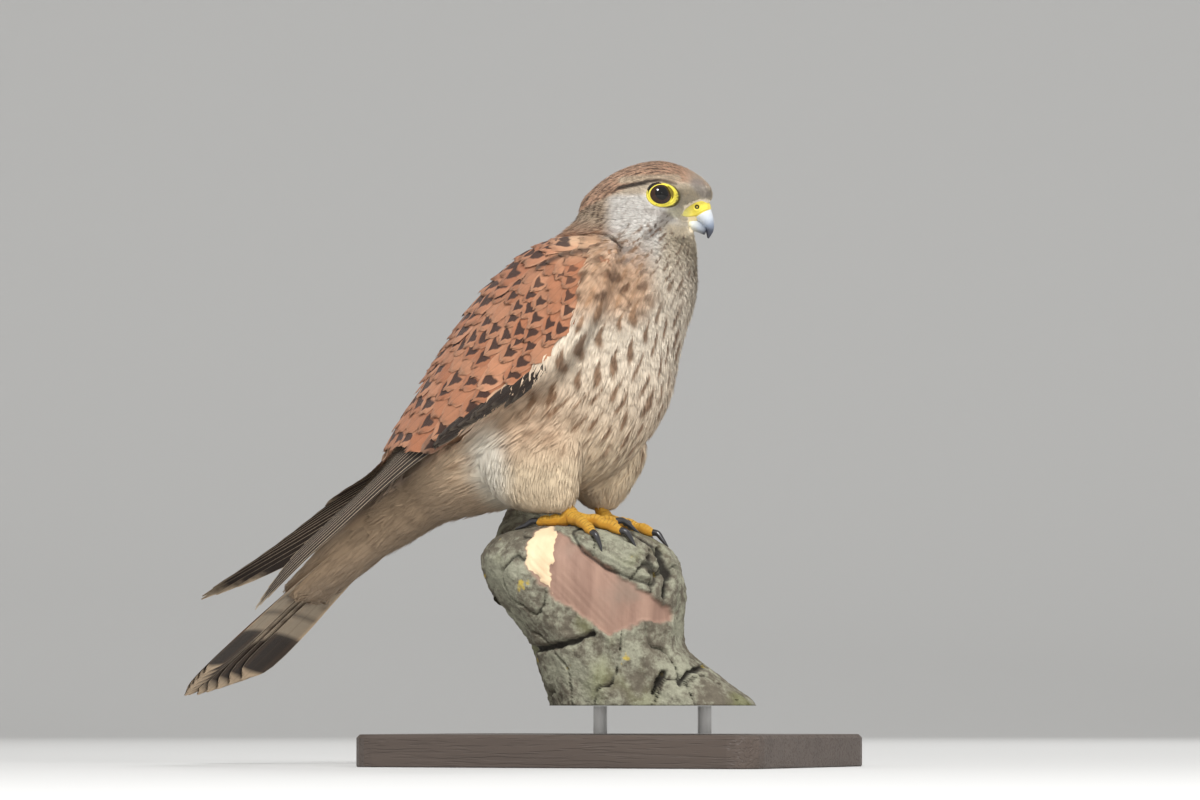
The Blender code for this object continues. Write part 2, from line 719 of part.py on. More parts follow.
def bill_ring(row, sides=12, grow=0.0):
    """One section of the bill, between its upper line and its lower edge."""
    top, low = Vector((row[0], 0, row[1])), Vector((row[2], 0, row[3]))
    middle, half = (top + low) / 2, (top - low) / 2
    turns = [math.tau * k / sides for k in range(sides)]
    rise = half + half.normalized() * grow
    return [middle + rise * math.cos(a) + Vector((0, (row[4] + grow) * math.sin(a), 0)) for a in turns]


def bill_form(rows, name, paint, grow=0.0, steps=2, start=0.0, end=0.0):
    """A loft through sections of the bill, its first and last rings moved along it."""
    last = len(rows) - 1
    rings = [bill_ring(between(rows, last * k / (steps * last)), grow=grow) for k in range(steps * last + 1)]
    for ring, near, shift in ((rings[0], rings[1], start), (rings[-1], rings[-2], end)):
        way = (sum(ring, Vector()) - sum(near, Vector())).normalized()
        for i, point in enumerate(ring):
            ring[i] = point + way * shift
    return loft(rings, name, paint, HEAD_AXES)


def eye_matrix(side):
    """The eye's own frame in the head's frame, its pupil along +Z."""
    place = Vector((EYE_PLACE.x, side * EYE_PLACE.y, EYE_PLACE.z))
    ahead = Vector((math.sin(EYE_FORWARD), side * math.cos(EYE_FORWARD), 0.05)).normalized()
    return Matrix.Translation(place) @ ahead.to_track_quat("Z", "Y").to_matrix().to_4x4()


def eye_form(side, name, paint, parent, radius, frame=Matrix.Identity(4)):
    bm = bmesh.new()
    bmesh.ops.create_uvsphere(bm, u_segments=18, v_segments=10, radius=radius, matrix=frame @ eye_matrix(side))
    return finish(bm, name, paint, parent)


def lid_form(side, name, tree):
    """The bare ring of the lids round one eye, resting on the face and drawn out a little towards the bill."""
    rings = []
    around, tube_sides = 20, 5
    place = HEAD_PLACE @ eye_matrix(side)
    forward = (place.to_3x3().inverted() @ (HEAD_PLACE.to_3x3() @ Vector((1, 0, 0))))
    forward = Vector((forward.x, forward.y, 0)).normalized()
    upward = Vector((0, 0, 1)).cross(forward).normalized()
    inward = place.to_3x3() @ Vector((0, 0, -1))
    for k in range(around):
        a = math.tau * k / around
        long = LID_FRONT if math.cos(a) > 0 else LID_REAR
        centre = forward * long * math.cos(a) + upward * LID_HEIGHT * math.sin(a)
        on_ball = math.sqrt(max(EYE_RADIUS ** 2 - centre.length_squared, 0))
        hit = tree.ray_cast(place @ (centre + Vector((0, 0, 16))), inward)[0]
        on_face = (place.inverted() @ hit).z if hit else on_ball
        centre.z = max(on_ball, on_face) + 0.2
        out = Vector((centre.x, centre.y, 0)).normalized()
        ring = []
        for j in range(tube_sides):
            b = math.tau * j / tube_sides
            offset = out * math.cos(b) * LID_TUBE * 1.25 + Vector((0, 0, 1)) * math.sin(b) * LID_TUBE
            ring.append(place @ (centre + offset))
        rings.append(ring)
    bm = bmesh.new()
    loops = [[bm.verts.new(p) for p in ring] for ring in rings]
    for k in range(around):
        low, high = loops[k], loops[(k + 1) % around]
        for j in range(tube_sides):
            n = (j + 1) % tube_sides
            bm.faces.new((low[j], low[n], high[n], high[j]))
    return finish(bm, name, FACE, BIRD)


def in_bird_frame(obj):
    """A piece built in the head's frame, made part of the bird's frame so it can cut or join the head."""
    obj.data.transform(HEAD_FRAME)
    obj.parent = BIRD
    return obj


def make_body():
    torso = body_length(0, T_NECK, 12, "torso", BREAST, BIRD, ends=(0, -GAP / 2))
    body_length(T_NECK, T_HEAD, 4, "neck", BREAST, BIRD, ends=(GAP / 2, -GAP / 2))
    head = body_length(T_HEAD, T_FACE, 16, "head", FACE, BIRD, ends=(GAP / 2, 0))
    face = surface_tree([body_ring(T_HEAD + (T_FACE - T_HEAD) * k / 30) for k in range(31)])
    apply_boolean(head, "UNION", [lid_form(side, "lids", face) for side in (-1, 1)])
    tools = [
        in_bird_frame(bill_form(CERE, "cere_room", FACE, grow=GAP, end=3)),
        in_bird_frame(bill_form(MANDIBLE, "mandible_room", FACE, grow=GAP)),
    ]
    for side in (-1, 1):
        tools.append(eye_form(side, "socket", FACE, BIRD, EYE_RADIUS + GAP, HEAD_PLACE))
    apply_boolean(head, "DIFFERENCE", tools)
    return torso, head


def make_bill():
    cere = bill_form(CERE, "cere", CERE_SKIN)
    pits = []
    for side in (-1, 1):
        place = Vector((NOSTRIL.x, side * NOSTRIL.y, NOSTRIL.z))
        pits.append(ball(place, 1.1, "pit", CERE_SKIN, HEAD_AXES, 12, 8))
    apply_boolean(cere, "DIFFERENCE", pits)
    bill_form(BILL, "bill_upper", HORN, start=-GAP)
    lower = bill_form(MANDIBLE, "bill_lower", HORN)
    tools = [bill_form(CERE, "cere_room", HORN, grow=GAP, end=0.4), bill_form(BILL, "bill_room", HORN, grow=GAP)]
    apply_boolean(lower, "DIFFERENCE", tools)


def make_eyes():
    for side, name in ((-1, "eye_right"), (1, "eye_left")):
        eye_form(side, name, EYE, HEAD_AXES, EYE_RADIUS)


def thigh_rings(rows, sides=20, steps=2):
    rings = []
    last = len(rows) - 1
    for k in range(steps * last + 1):
        x, y, z, half_x, half_y = between(rows, k / steps)
        turns = [math.tau * i / sides for i in range(sides)]
        rings.append([Vector((x + half_x * math.cos(a), y + half_y * math.sin(a), z)) for a in turns])
    return rings


def tarsus_points(foot):
    x, y, z = foot[0]
    return [(x - 5, y, z + 15), (x - 2, y, z + 5), (x, y, z - 0.5)]


def make_thigh(rows, foot, name):
    thigh = loft(thigh_rings(rows), name, BREAST, BIRD)
    room = body_length(0, T_HEAD, 20, "trunk_room", BREAST, BIRD, grow=GAP)
    leg = tube(tarsus_points(foot), [TARSUS_RADIUS + GAP] * 3, "leg_room", BREAST, BIRD, 12)
    heel = ball(Vector(foot[0]) + Vector((0, 0, 0.9)), 3.6 + GAP, "heel_room", BREAST, BIRD, 16, 10)
    return apply_boolean(thigh, "DIFFERENCE", [room, leg, heel])


def toe_line(foot, toe, tree):
    """A toe's centre line and radii, resting on the wood."""
    joint, end = Vector(foot[0]), Vector((toe[0], toe[1], foot[0][2]))
    line, radii = [], []
    steps = 6
    for k in range(steps + 1):
        radius = 2.7 + (toe[2] - 2.7) * k / steps + (0.25 if k % 2 else -0.1)
        point = joint.lerp(end, k / steps)
        if k:
            point = held_off(tree, point + Vector((0, 0, 0.5)), radius + GAP + 0.02, rest=True)
        line.append(point)
        radii.append(radius)
    return line, radii


def make_foot(foot, side, tree):
    joint = ball(Vector(foot[0]) + Vector((0, 0, 0.9)), 3.6, "foot_" + side, FOOT_SKIN, BIRD, 12, 8)
    pieces = [tube(tarsus_points(foot), [TARSUS_RADIUS] * 3, "tarsus", FOOT_SKIN, BIRD, 12)]
    for toe, length, label in zip(foot[1], CLAW_LENGTHS, CLAW_NAMES):
        line, radii = toe_line(foot, toe, tree)
        pieces.append(tube(line, radii, "toe", FOOT_SKIN, BIRD, 8))
        way = (line[-1] - line[-2]).normalized()
        hit, normal, _, _ = tree.find_nearest(line[-1])
        down = -normal
        claw, sizes = [], (1.45, 1.35, 1.05, 0.65, 0.2)
        for k, (ahead, rise) in enumerate(((0.0, 0.2), (0.28, 0.1), (0.56, -0.02), (0.8, -0.2), (0.95, -0.4))):
            point = line[-1] + way * (GAP + 0.05 + length * ahead) - down * length * rise
            claw.append(held_off(tree, point, sizes[k] + GAP))
        claw[0] = line[-1] + way * (GAP + 0.05) - down * 0.3
        tube(claw, sizes, f"claw_{side}_{label}", CLAW_HORN, BIRD, 7)
    apply_boolean(joint, "UNION", pieces)
    room = loft(perch_rings(GAP), "perch_room", BARK, BIRD)
    return apply_boolean(joint, "DIFFERENCE", [room])


def make_perch():
    perch = loft(perch_rings(), "perch", BARK, BIRD)
    stub = tube(STUB, STUB_RADII, "stub", BARK, BIRD, 20)
    apply_boolean(perch, "UNION", [stub])
    return perch


def make_stand():
    loft(round_plate(BASE_SIZE, BASE_CORNER, 0), "stand_base", BASE_WOOD, None)
    low, high = BASE_SIZE[2] + GAP, FEET.z + PERCH[-1][0] - GAP
    for number, (x, y) in enumerate(ROD_PLACES, 1):
        bm = bmesh.new()
        place = Matrix.Translation((x, y, (low + high) / 2))
        bmesh.ops.create_cone(bm, cap_ends=True, segments=24, radius1=ROD_RADIUS, radius2=ROD_RADIUS,
                              depth=high - low, matrix=place)
        finish(bm, f"stand_rod_{number}", ROD_METAL, None)


make_body()
make_bill()
make_eyes()
make_tail()
TRUNK_TREE = surface_tree([body_ring(T_HEAD * k / 24) for k in range(25)], tail_rings() + tail_blade_rings())
SHEET_RIGHT = Sheet(WING_RIGHT, TRUNK_TREE)
SHEET_LEFT = Sheet(WING_LEFT, TRUNK_TREE, Matrix.Diagonal((1, -1, 1, 1)))
make_wing(SHEET_RIGHT, "wing_right")
make_wing(SHEET_LEFT, "wing_left")
make_thigh(THIGH_RIGHT, FOOT_RIGHT, "thigh_right")
make_thigh(THIGH_LEFT, FOOT_LEFT, "thigh_left")
make_perch()
PERCH_TREE = surface_tree(perch_rings())
make_foot(FOOT_RIGHT, "right", PERCH_TREE)
make_foot(FOOT_LEFT, "left", PERCH_TREE)
make_stand()
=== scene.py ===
"""A female common kestrel on a broken dead branch, as a life-size museum model over a plain display base."""
import math

import bpy
import numpy as np
from mathutils import Matrix, Vector, noise
from mathutils.bvhtree import BVHTree
from mathutils.kdtree import KDTree


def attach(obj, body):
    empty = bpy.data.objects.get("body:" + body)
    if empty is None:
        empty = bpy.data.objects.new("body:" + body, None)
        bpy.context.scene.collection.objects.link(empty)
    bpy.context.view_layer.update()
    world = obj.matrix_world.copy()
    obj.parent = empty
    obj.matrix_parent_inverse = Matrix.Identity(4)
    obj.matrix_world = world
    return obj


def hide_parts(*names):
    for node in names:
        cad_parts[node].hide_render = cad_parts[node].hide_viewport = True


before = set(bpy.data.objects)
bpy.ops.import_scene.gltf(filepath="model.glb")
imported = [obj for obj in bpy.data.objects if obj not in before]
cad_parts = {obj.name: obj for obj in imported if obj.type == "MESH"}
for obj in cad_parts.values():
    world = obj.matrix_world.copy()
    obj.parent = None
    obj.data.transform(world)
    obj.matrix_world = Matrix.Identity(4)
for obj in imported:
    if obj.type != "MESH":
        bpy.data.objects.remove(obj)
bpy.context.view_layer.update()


# Display base: a flat plate of dark stained wood with softly rounded corners.
# It is turned upside down for the finish, rubbed back and waxed to a low sheen.
class Wire:
    """A socket of a finish, so that a sum written on it adds the nodes that work it out."""

    def __init__(self, finish, socket):
        self.finish, self.socket = finish, socket

    def sum(self, operation, *values):
        return self.finish.node("ShaderNodeMath", {"operation": operation}, dict(enumerate(values)))

    def __add__(self, other):
        return self.sum("ADD", self, other)

    def __sub__(self, other):
        return self.sum("SUBTRACT", self, other)

    def __rsub__(self, other):
        return self.sum("SUBTRACT", other, self)

    def __mul__(self, other):
        return self.sum("MULTIPLY", self, other)

    def __abs__(self):
        return self.sum("ABSOLUTE", self)

    __radd__, __rmul__ = __add__, __mul__


class Finish:
    """One procedural material. Its node method adds any node and returns one of its outputs."""

    def __init__(self, name):
        self.material = bpy.data.materials.new(name)
        self.material.use_nodes = True
        self.tree = self.material.node_tree
        self.shader = self.tree.nodes["Principled BSDF"]

    def feed(self, socket, value):
        if isinstance(value, Wire):
            self.tree.links.new(value.socket, socket)
        elif socket.type == "RGBA" and len(value) == 3:
            socket.default_value = (*value, 1)
        else:
            socket.default_value = value

    def node(self, kind, settings={}, inputs={}, output=0):
        made = self.tree.nodes.new(kind)
        for key, value in settings.items():
            if key == "stops":
                ramp = made.color_ramp
                ramp.elements.remove(ramp.elements[1])
                ramp.elements[0].position = value[0][0]
                ramp.elements[0].color = (*value[0][1], 1)
                for place, colour in value[1:]:
                    ramp.elements.new(place).color = (*colour, 1)
            else:
                setattr(made, key, value)
        for key, value in inputs.items():
            self.feed(made.inputs[key], value)
        return Wire(self, made.outputs[output])

    def number(self, attribute):
        """One number kept at a mesh's points."""
        return self.node("ShaderNodeAttribute", {"attribute_name": attribute}, {}, "Fac")

    def vector(self, attribute):
        """Three numbers kept at a mesh's points, as one socket."""
        return self.node("ShaderNodeAttribute", {"attribute_name": attribute}, {}, "Vector")

    def three(self, attribute):
        """Three numbers kept at a mesh's points, each on its own socket."""
        parts = self.node("ShaderNodeSeparateXYZ", {}, {"Vector": self.vector(attribute)})
        return [Wire(self, output) for output in parts.socket.node.outputs]

    def set(self, **values):
        for name, value in values.items():
            self.feed(self.shader.inputs[name.replace("_", " ")], value)

    def mix(self, share, first, second):
        return self.node("ShaderNodeMix", {"data_type": "RGBA"}, {0: share, 6: first, 7: second}, 2)

    def rise(self, value, low, high):
        """A smooth step from 0 at low to 1 at high."""
        return self.node("ShaderNodeMapRange", {"interpolation_type": "SMOOTHSTEP"},
                         {"Value": value, "From Min": low, "From Max": high})

    def grain(self, scale, detail=3, place=None, roughness=0.5):
        place = place or self.node("ShaderNodeTexCoord", output="Object")
        return self.node("ShaderNodeTexNoise", {},
                         {"Vector": place, "Scale": scale, "Detail": detail, "Roughness": roughness})

    def stretched(self, x, y, z):
        """Object coordinates, drawn out more where a number is small."""
        place = self.node("ShaderNodeTexCoord", output="Object")
        return self.node("ShaderNodeVectorMath", {"operation": "MULTIPLY"}, {0: place, 1: (x, y, z)})

    def relief(self, height, distance):
        bump = self.node("ShaderNodeBump", {}, {"Height": height, "Distance": distance, "Strength": 1.0})
        self.set(Normal=bump)


base_wood = Finish("stained base wood")
figure = base_wood.grain(60, 5, base_wood.stretched(0.12, 1.6, 1.6), 0.6)
pores = base_wood.rise(base_wood.grain(900, 2, base_wood.stretched(0.05, 1, 1)), 0.5, 0.62)
base_wood.set(Base_Color=base_wood.mix(figure, (0.045, 0.032, 0.026), (0.10, 0.075, 0.06)),
              Roughness=0.38 + 0.15 * pores)
base_wood.relief(pores * -1.0 + figure * 0.4, 0.0002)
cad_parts["stand_base"].data.materials[0] = base_wood.material

# Rods: two short lengths of satin steel, let into the base and up into the cut wood.
# They carry the branch clear of the floor so that the long tail can hang free.
rod_steel = Finish("satin rod steel")
draw = rod_steel.grain(400, 2, rod_steel.stretched(1, 1, 0.03))
rod_steel.set(Base_Color=rod_steel.mix(draw, (0.42, 0.42, 0.41), (0.62, 0.61, 0.60)),
              Metallic=1.0, Roughness=0.26 + 0.14 * draw)
for name in ("stand_rod_1", "stand_rod_2"):
    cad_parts[name].data.materials[0] = rod_steel.material

# Branch: the broken end of a dead limb with a stub behind it, weathered bark under grey-green lichen.
# Bark has scaled off the near side and shows pinkish wood, a fresh cream tear, a ridged flap and deep cracks.
# The cracks, the crevice under the flap and the pits of the torn end are painted near black as their shade.
MM = 0.001
GAP = 0.3
FEET = Vector((-8, -4, 106))
PERCH_TURN = math.radians(25)
# Each row: the height over the feet, the left and right edges, half the depth, the middle's set-back.
PERCH = (
    (-2.6, -27, 14, 23, 0),
    (-4.6, -36, 21, 27, 0),
    (-7.5, -42, 28, 31, 0),
    (-12, -46, 35, 34, 0),
    (-17, -47, 39, 36, 0),
    (-29.6, -42, 41.5, 37, 1),
    (-42.6, -33, 40.5, 37, 2),
    (-55.7, -25.5, 42.6, 37, 3),
    (-68.7, -21.3, 58.7, 38, 4),
    (-79.6, -16.5, 72.6, 40, 5),
)
PERCH_HEIGHTS = (-2.6, -4.6, -7.5, -12, -17, -23, -29.6, -36, -42.6, -49, -55.7, -62, -68.7, -74, -79.6)
STUB = ((-33, 3, -27), (-41, 17, -14), (-50, 46, 2), (-58, 70, 16))
STUB_RADII = (15, 13.5, 12.5, 12)
# Patches as the camera sees them: millimetres to the right of the feet and height over them.
BARE_WOOD = ((-19, -3), (-9, -7), (0, -15), (12, -23), (24, -31), (37, -40), (37, -44), (22, -44), (9, -50),
             (3, -46), (-13, -36), (-22, -27), (-29, -20), (-24, -4))
FRESH_WOOD = ((-29, -20), (-27, -10), (-22, -3), (-15, -1), (-15, -12), (-17, -20), (-17, -31), (-22, -25))
BARK_FLAP = ((-6, -6), (2, -3), (14, -4), (26, -12), (30, -20), (27, -27), (18, -24), (8, -20), (-2, -13))
CRACKS = (((-33, -55), (-20, -55), (-6, -52), (1, -49)), ((39, -70), (43, -66), (50, -63)),
          ((30, -13), (34, -24), (33, -33)), ((27, -74), (32, -66)))


def between(rows, t):
    """A smooth curve through evenly spaced rows of numbers, read at t."""
    rows, t = np.asarray(rows, float), np.asarray(t, float)
    last = len(rows) - 1
    t = np.clip(t, 0, last)
    i = np.minimum(t.astype(int), last - 1)
    f = (t - i)[..., None] if rows.ndim > 1 else t - i
    before, start, end, after = (rows[np.clip(i + k, 0, last)] for k in (-1, 0, 1, 2))
    slope_in, slope_out = (end - before) / 2, (after - start) / 2
    f2, f3 = f * f, f * f * f
    curve = (2 * f3 - 3 * f2 + 1) * start + (f3 - 2 * f2 + f) * slope_in
    return curve + (-2 * f3 + 3 * f2) * end + (f3 - f2) * slope_out


def ease(value):
    """A smooth step from 0 to 1."""
    value = np.clip(value, 0, 1)
    return value * value * (3 - 2 * value)


def perch_point(height, angle, grow=0.0):
    """A point of the branch's plain form, in millimetres from the point between the feet."""
    rank = float(np.interp(-height, [-row[0] for row in PERCH], range(len(PERCH))))
    _, low, high, depth, shift = between(PERCH, rank)
    turn = Vector((math.cos(PERCH_TURN), math.sin(PERCH_TURN), 0))
    away = Vector((-math.sin(PERCH_TURN), math.cos(PERCH_TURN), 0))
    c, s = math.cos(angle), math.sin(angle)
    square = (abs(c) ** 2.4 + abs(s) ** 2.4) ** (-1 / 2.4)
    ridges = 0.5 * math.sin(9 * angle + height / 11) + 0.35 * math.sin(17 * angle - height / 7)
    knots = 0.9 * math.sin(2.3 * angle + height / 16 + 1) * math.sin(1.7 * angle - height / 21)
    rough = (ridges + 1.2 * knots) * min(1, (-height) / 12) * min(1, (high - low) / 60)
    across, deep = (high - low) / 2 + grow + rough, depth + grow + rough
    flat = turn * ((low + high) / 2 + across * square * c) + away * (shift + deep * square * s)
    return flat + Vector((0, 0, height))


def inside(shape, x, y):
    """How deep a point lies inside an outline, in millimetres, less than 0 outside it."""
    nearest, within = 1e9, False
    for (ax, ay), (bx, by) in zip(shape, shape[1:] + shape[:1]):
        share = ((x - ax) * (bx - ax) + (y - ay) * (by - ay)) / ((bx - ax) ** 2 + (by - ay) ** 2)
        share = min(max(share, 0), 1)
        nearest = min(nearest, math.hypot(x - ax - share * (bx - ax), y - ay - share * (by - ay)))
        if (ay > y) != (by > y) and x < (bx - ax) * (y - ay) / (by - ay) + ax:
            within = not within
    return nearest if within else -nearest


def beside(line, x, y):
    """The distance from a point to an open line."""
    near = 1e9
    for (ax, ay), (bx, by) in zip(line, line[1:]):
        share = ((x - ax) * (bx - ax) + (y - ay) * (by - ay)) / ((bx - ax) ** 2 + (by - ay) ** 2)
        share = min(max(share, 0), 1)
        near = min(near, math.hypot(x - ax - share * (bx - ax), y - ay - share * (by - ay)))
    return near


def mesh_piece(name, points, faces, finish, marks={}):
    """An object from points in millimetres round the feet, with numbers kept at its points for its finish."""
    mesh = bpy.data.meshes.new(name)
    points = (np.asarray(points, float).reshape(-1, 3) + np.array(FEET)) * MM
    mesh.from_pydata(points.tolist(), [], faces if isinstance(faces, list) else faces.tolist())
    for key, values in marks.items():
        values = np.asarray(values, np.float32)
        if values.ndim == 1:
            mesh.attributes.new(key, "FLOAT", "POINT").data.foreach_set("value", values)
        else:
            mesh.attributes.new(key, "FLOAT_VECTOR", "POINT").data.foreach_set("vector", values.ravel())
    mesh.shade_smooth()
    mesh.materials.append(finish.material)
    made = bpy.data.objects.new(name, mesh)
    bpy.context.scene.collection.objects.link(made)
    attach(made, "root")
    return made


def bark_roughness(point, height):
    """Crusty scales over broader plates and lengthwise ridges, in millimetres."""
    plates = noise.noise(Vector((point.x / 9, point.y / 9, height / 16)))
    crust = noise.fractal(point / 2.6, 0.9, 2.1, 4)
    pits = noise.voronoi(point / 4.2)[0][0]
    return 0.9 * plates + 0.55 * crust - 0.8 * max(0, 0.3 - pits)


perch_points, perch_marks = [], []
ROUND, RISE = 340, 112
for i in range(RISE + 1):
    height = -79.6 + (79.6 - 2.6) * (i / RISE) ** 0.93
    for k in range(ROUND):
        angle = math.tau * k / ROUND
        point, out = perch_point(height, angle), perch_point(height, angle, 1)
        out = (out - point).normalized()
        seen = ease(-math.sin(angle) * 2.2 + 0.55)
        across = point.x * math.cos(PERCH_TURN) + point.y * math.sin(PERCH_TURN)
        ragged = 1.6 * noise.noise(point / 5) + 0.8 * noise.noise(point / 1.7)
        bare = ease((inside(BARE_WOOD, across, height) + ragged) / 1.6 + 0.4) * seen
        fresh = ease((inside(FRESH_WOOD, across, height) + ragged) / 1.2 + 0.5) * seen
        flap = ease((inside(BARK_FLAP, across, height) + 0.6 * ragged) / 2.2 + 0.3) * seen
        bare *= 1 - flap
        shaded_crack = min(beside(line, across, height) for line in CRACKS) + 0.5 * ragged
        shaded_crack = ease(1.5 - shaded_crack / 1.3) * seen
        far_crack = abs(noise.noise(Vector((point.x / 14, point.y / 14, height / 40 + 7))))
        shaded_crack = max(shaded_crack, ease(1 - far_crack / 0.035) * (1 - max(bare, fresh)) * 0.8)
        # Painted shade: a band under the flap's lower edge, sunk in and painted dark.
        shade_under_flap = ease(1 - abs(inside(BARK_FLAP, across, height) + 1.2) / 1.6) * seen * (1 - fresh)
        rough = bark_roughness(point, height)
        wood = max(bare, fresh)
        lines = 0.35 * noise.noise(Vector((across / 1.5 + height / 1.6, height / 25, 0)))
        lift = rough * (1 - wood) + wood * (lines - 1.9 + 0.9 * fresh)
        lift += flap * (1.1 + 0.75 * math.sin((height * 1.5 + across * 0.75 + ragged) * 1.25))
        lift -= 3.0 * shaded_crack + 1.5 * shade_under_flap * (1 - flap)
        lift *= min(1, (-2.0 - height) / 3.5 + 0.25)
        perch_points.append(point + out * min(lift, 2.2))
        perch_marks.append((wood, fresh, max(shaded_crack, 0.8 * shade_under_flap * (1 - flap))))
rows = RISE + 1
top_ring = perch_points[-ROUND:]
centre = sum(top_ring, Vector()) / ROUND
for share in (0.86, 0.7, 0.52, 0.34, 0.16):
    for k in range(ROUND):
        point = centre + (top_ring[k] - centre) * share
        torn = noise.fractal(point / 3.4, 0.9, 2.1, 4)
        perch_points.append(point + Vector((0, 0, 0.25 - 0.9 * abs(torn))))
        # Painted shade: the deepest pits of the torn end take a little of the cracks' near-black paint.
        perch_marks.append((0.9, 0.35 + 0.3 * torn, ease(abs(torn) - 0.6)))
    rows += 1
perch_faces = []
for i in range(rows - 1):
    for k in range(ROUND):
        n = (k + 1) % ROUND
        perch_faces.append((i * ROUND + k, i * ROUND + n, (i + 1) * ROUND + n, (i + 1) * ROUND + k))
perch_faces.append(tuple((rows - 1) * ROUND + k for k in range(ROUND)))
perch_faces.append(tuple(range(ROUND))[::-1])

first = len(perch_points)
STUB_ROUND, STUB_LONG = 100, 90
side = Vector((0.13, 1, 0.07))
for i in range(STUB_LONG + 1):
    t = 3 * i / STUB_LONG
    point, radius = Vector(between(STUB, t)), float(between(STUB_RADII, t))
    along = Vector(between(STUB, min(t + 0.1, 3))) - Vector(between(STUB, max(t - 0.1, 0)))
    side = along.cross(side).cross(along).normalized()
    up = side.cross(along).normalized()
    for k in range(STUB_ROUND):
        a = math.tau * k / STUB_ROUND
        out = math.cos(a) * side + math.sin(a) * up
        spot = point + out * radius
        # Painted shade: the stub's cracks are painted dark too.
        shaded_crack = ease(1 - abs(noise.noise(Vector((math.cos(a) * 2.2, math.sin(a) * 2.2, t * 1.3)))) / 0.05)
        lift = bark_roughness(spot, t * 30) - 1.6 * shaded_crack
        perch_points.append(spot + out * min(lift, 1.6))
        perch_marks.append((0.0, 0.0, 0.8 * shaded_crack))
for share in (0.96, 0.9, 0.6, 0.3):
    for k in range(STUB_ROUND):
        rim = perch_points[first + STUB_LONG * STUB_ROUND + k]
        perch_points.append(point + (rim - point) * share)
        perch_marks.append((1.0 if share < 0.93 else 0.3, 0.75, 0.0))
for i in range(STUB_LONG + 4):
    for k in range(STUB_ROUND):
        low, high = first + i * STUB_ROUND, first + (i + 1) * STUB_ROUND
        n = (k + 1) % STUB_ROUND
        perch_faces.append((low + k, low + n, high + n, high + k)[::-1])
perch_faces.append(tuple(first + (STUB_LONG + 4) * STUB_ROUND + k for k in range(STUB_ROUND))[::-1])

bark = Finish("lichened bark and torn wood")
wood, fresh, shaded_crack = bark.three("patch")
broad, fine, speck = bark.grain(45, 4), bark.grain(260, 6, None, 0.68), bark.grain(900, 3)
lichen = bark.rise(broad * 0.55 + fine * 0.5, 0.44, 0.60)
crust = bark.mix(fine, (0.055, 0.046, 0.034), (0.19, 0.165, 0.122))
crust = bark.mix(lichen, crust, bark.mix(speck, (0.165, 0.165, 0.115), (0.37, 0.36, 0.275)))
gold = bark.rise(bark.grain(95, 3, bark.stretched(1.1, 0.9, 1)), 0.685, 0.74)
crust = bark.mix(gold * 0.75, crust, (0.50, 0.36, 0.05))
green = bark.rise(bark.grain(30, 3, bark.stretched(1, 1.2, 0.8)), 0.56, 0.7)
crust = bark.mix(green * 0.5, crust, (0.17, 0.18, 0.07))
figure = bark.grain(150, 4, bark.stretched(1.2, 1.2, 0.18))
bare = bark.mix(figure, (0.15, 0.082, 0.062), (0.42, 0.27, 0.20))
bare = bark.mix(bark.rise(broad, 0.5, 0.68) * 0.5, bare, (0.20, 0.16, 0.125))
pale = bark.mix(figure, (0.62, 0.42, 0.25), (0.86, 0.70, 0.47))
colour = bark.mix(wood, crust, bark.mix(bark.rise(fresh, 0.35, 0.7), bare, pale))
# Painted shade: cracks, the crevice under the flap and pits in the torn end are painted near black.
colour = bark.mix(bark.rise(shaded_crack, 0.25, 0.95) * 0.93, colour, (0.012, 0.010, 0.008))
bark.set(Base_Color=colour, Roughness=0.88 - 0.22 * wood, Specular_IOR_Level=0.3)
bark.relief((fine * 0.8 + speck * 0.35) * (1.15 - 0.85 * wood) + figure * 0.3 * wood, 0.0009)
branch = mesh_piece("branch", perch_points, perch_faces, bark, {"patch": perch_marks})
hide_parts("perch")

# Skin: one unbroken form of the bird's body under its feathers, from the face to the tail's covered base.
# It lies inside the outline by the coat's depth and is painted as the plumage over it, so no gap looks bare.
HEAD_CENTRE = np.array((24, 0, 138.8))
HEAD_TURN = math.radians(17)
HEAD_AXES = np.array(((math.cos(HEAD_TURN), -math.sin(HEAD_TURN), 0),
                      (math.sin(HEAD_TURN), math.cos(HEAD_TURN), 0), (0, 0, 1)))
# Sections from tail root to face: the back's x and z, the front's x and z, and half the width.
TRUNK = (
    (-94, 30, -75, -0.5, 15),
    (-86, 41, -50, 4.5, 25),
    (-74, 55, -16, 11, 32),
    (-61.5, 72, 13, 23, 36),
    (-48, 89, 33.5, 46, 37),
    (-35, 104.5, 41, 74, 36.5),
    (-22, 118, 48.4, 98, 34),
)
# The head's sections are written in its own frame, round its centre.
HEAD = (
    (-28.2, -7.2, 25.4, -21.5, 21.5),
    (-26.3, 0, 25.2, -18.5, 20.7),
    (-20, 6.8, 24.3, -16.3, 20.2),
    (-10, 13.2, 24, -14.8, 19.7),
    (1, 16.9, 23.8, -13.8, 19.2),
    (11, 17.4, 23.6, -13.2, 18.4),
    (20.5, 14.3, 23.5, -12.8, 16.4),
    (27.6, 9.8, 24, -12.5, 13),
    (31.2, 5.2, 24, -12.3, 9.6),
    (31.2, 0.6, 23.8, -12.1, 6.6),
)
T_HEAD, T_FACE = len(TRUNK), len(TRUNK) + len(HEAD) - 1
TAIL_ROOT = Vector((-79, 0, 20.5))
TAIL_SLOPE, TAIL_ROLL = math.radians(39.5), math.radians(6)
# The tail's covered base: the reach, half the width, and the height over and under the axis.
TAIL_CORE = ((40, 16, 11.5, 12), (55, 17, 9, 9.8), (70, 18, 6.6, 7.2), (80, 17, 5.4, 5))
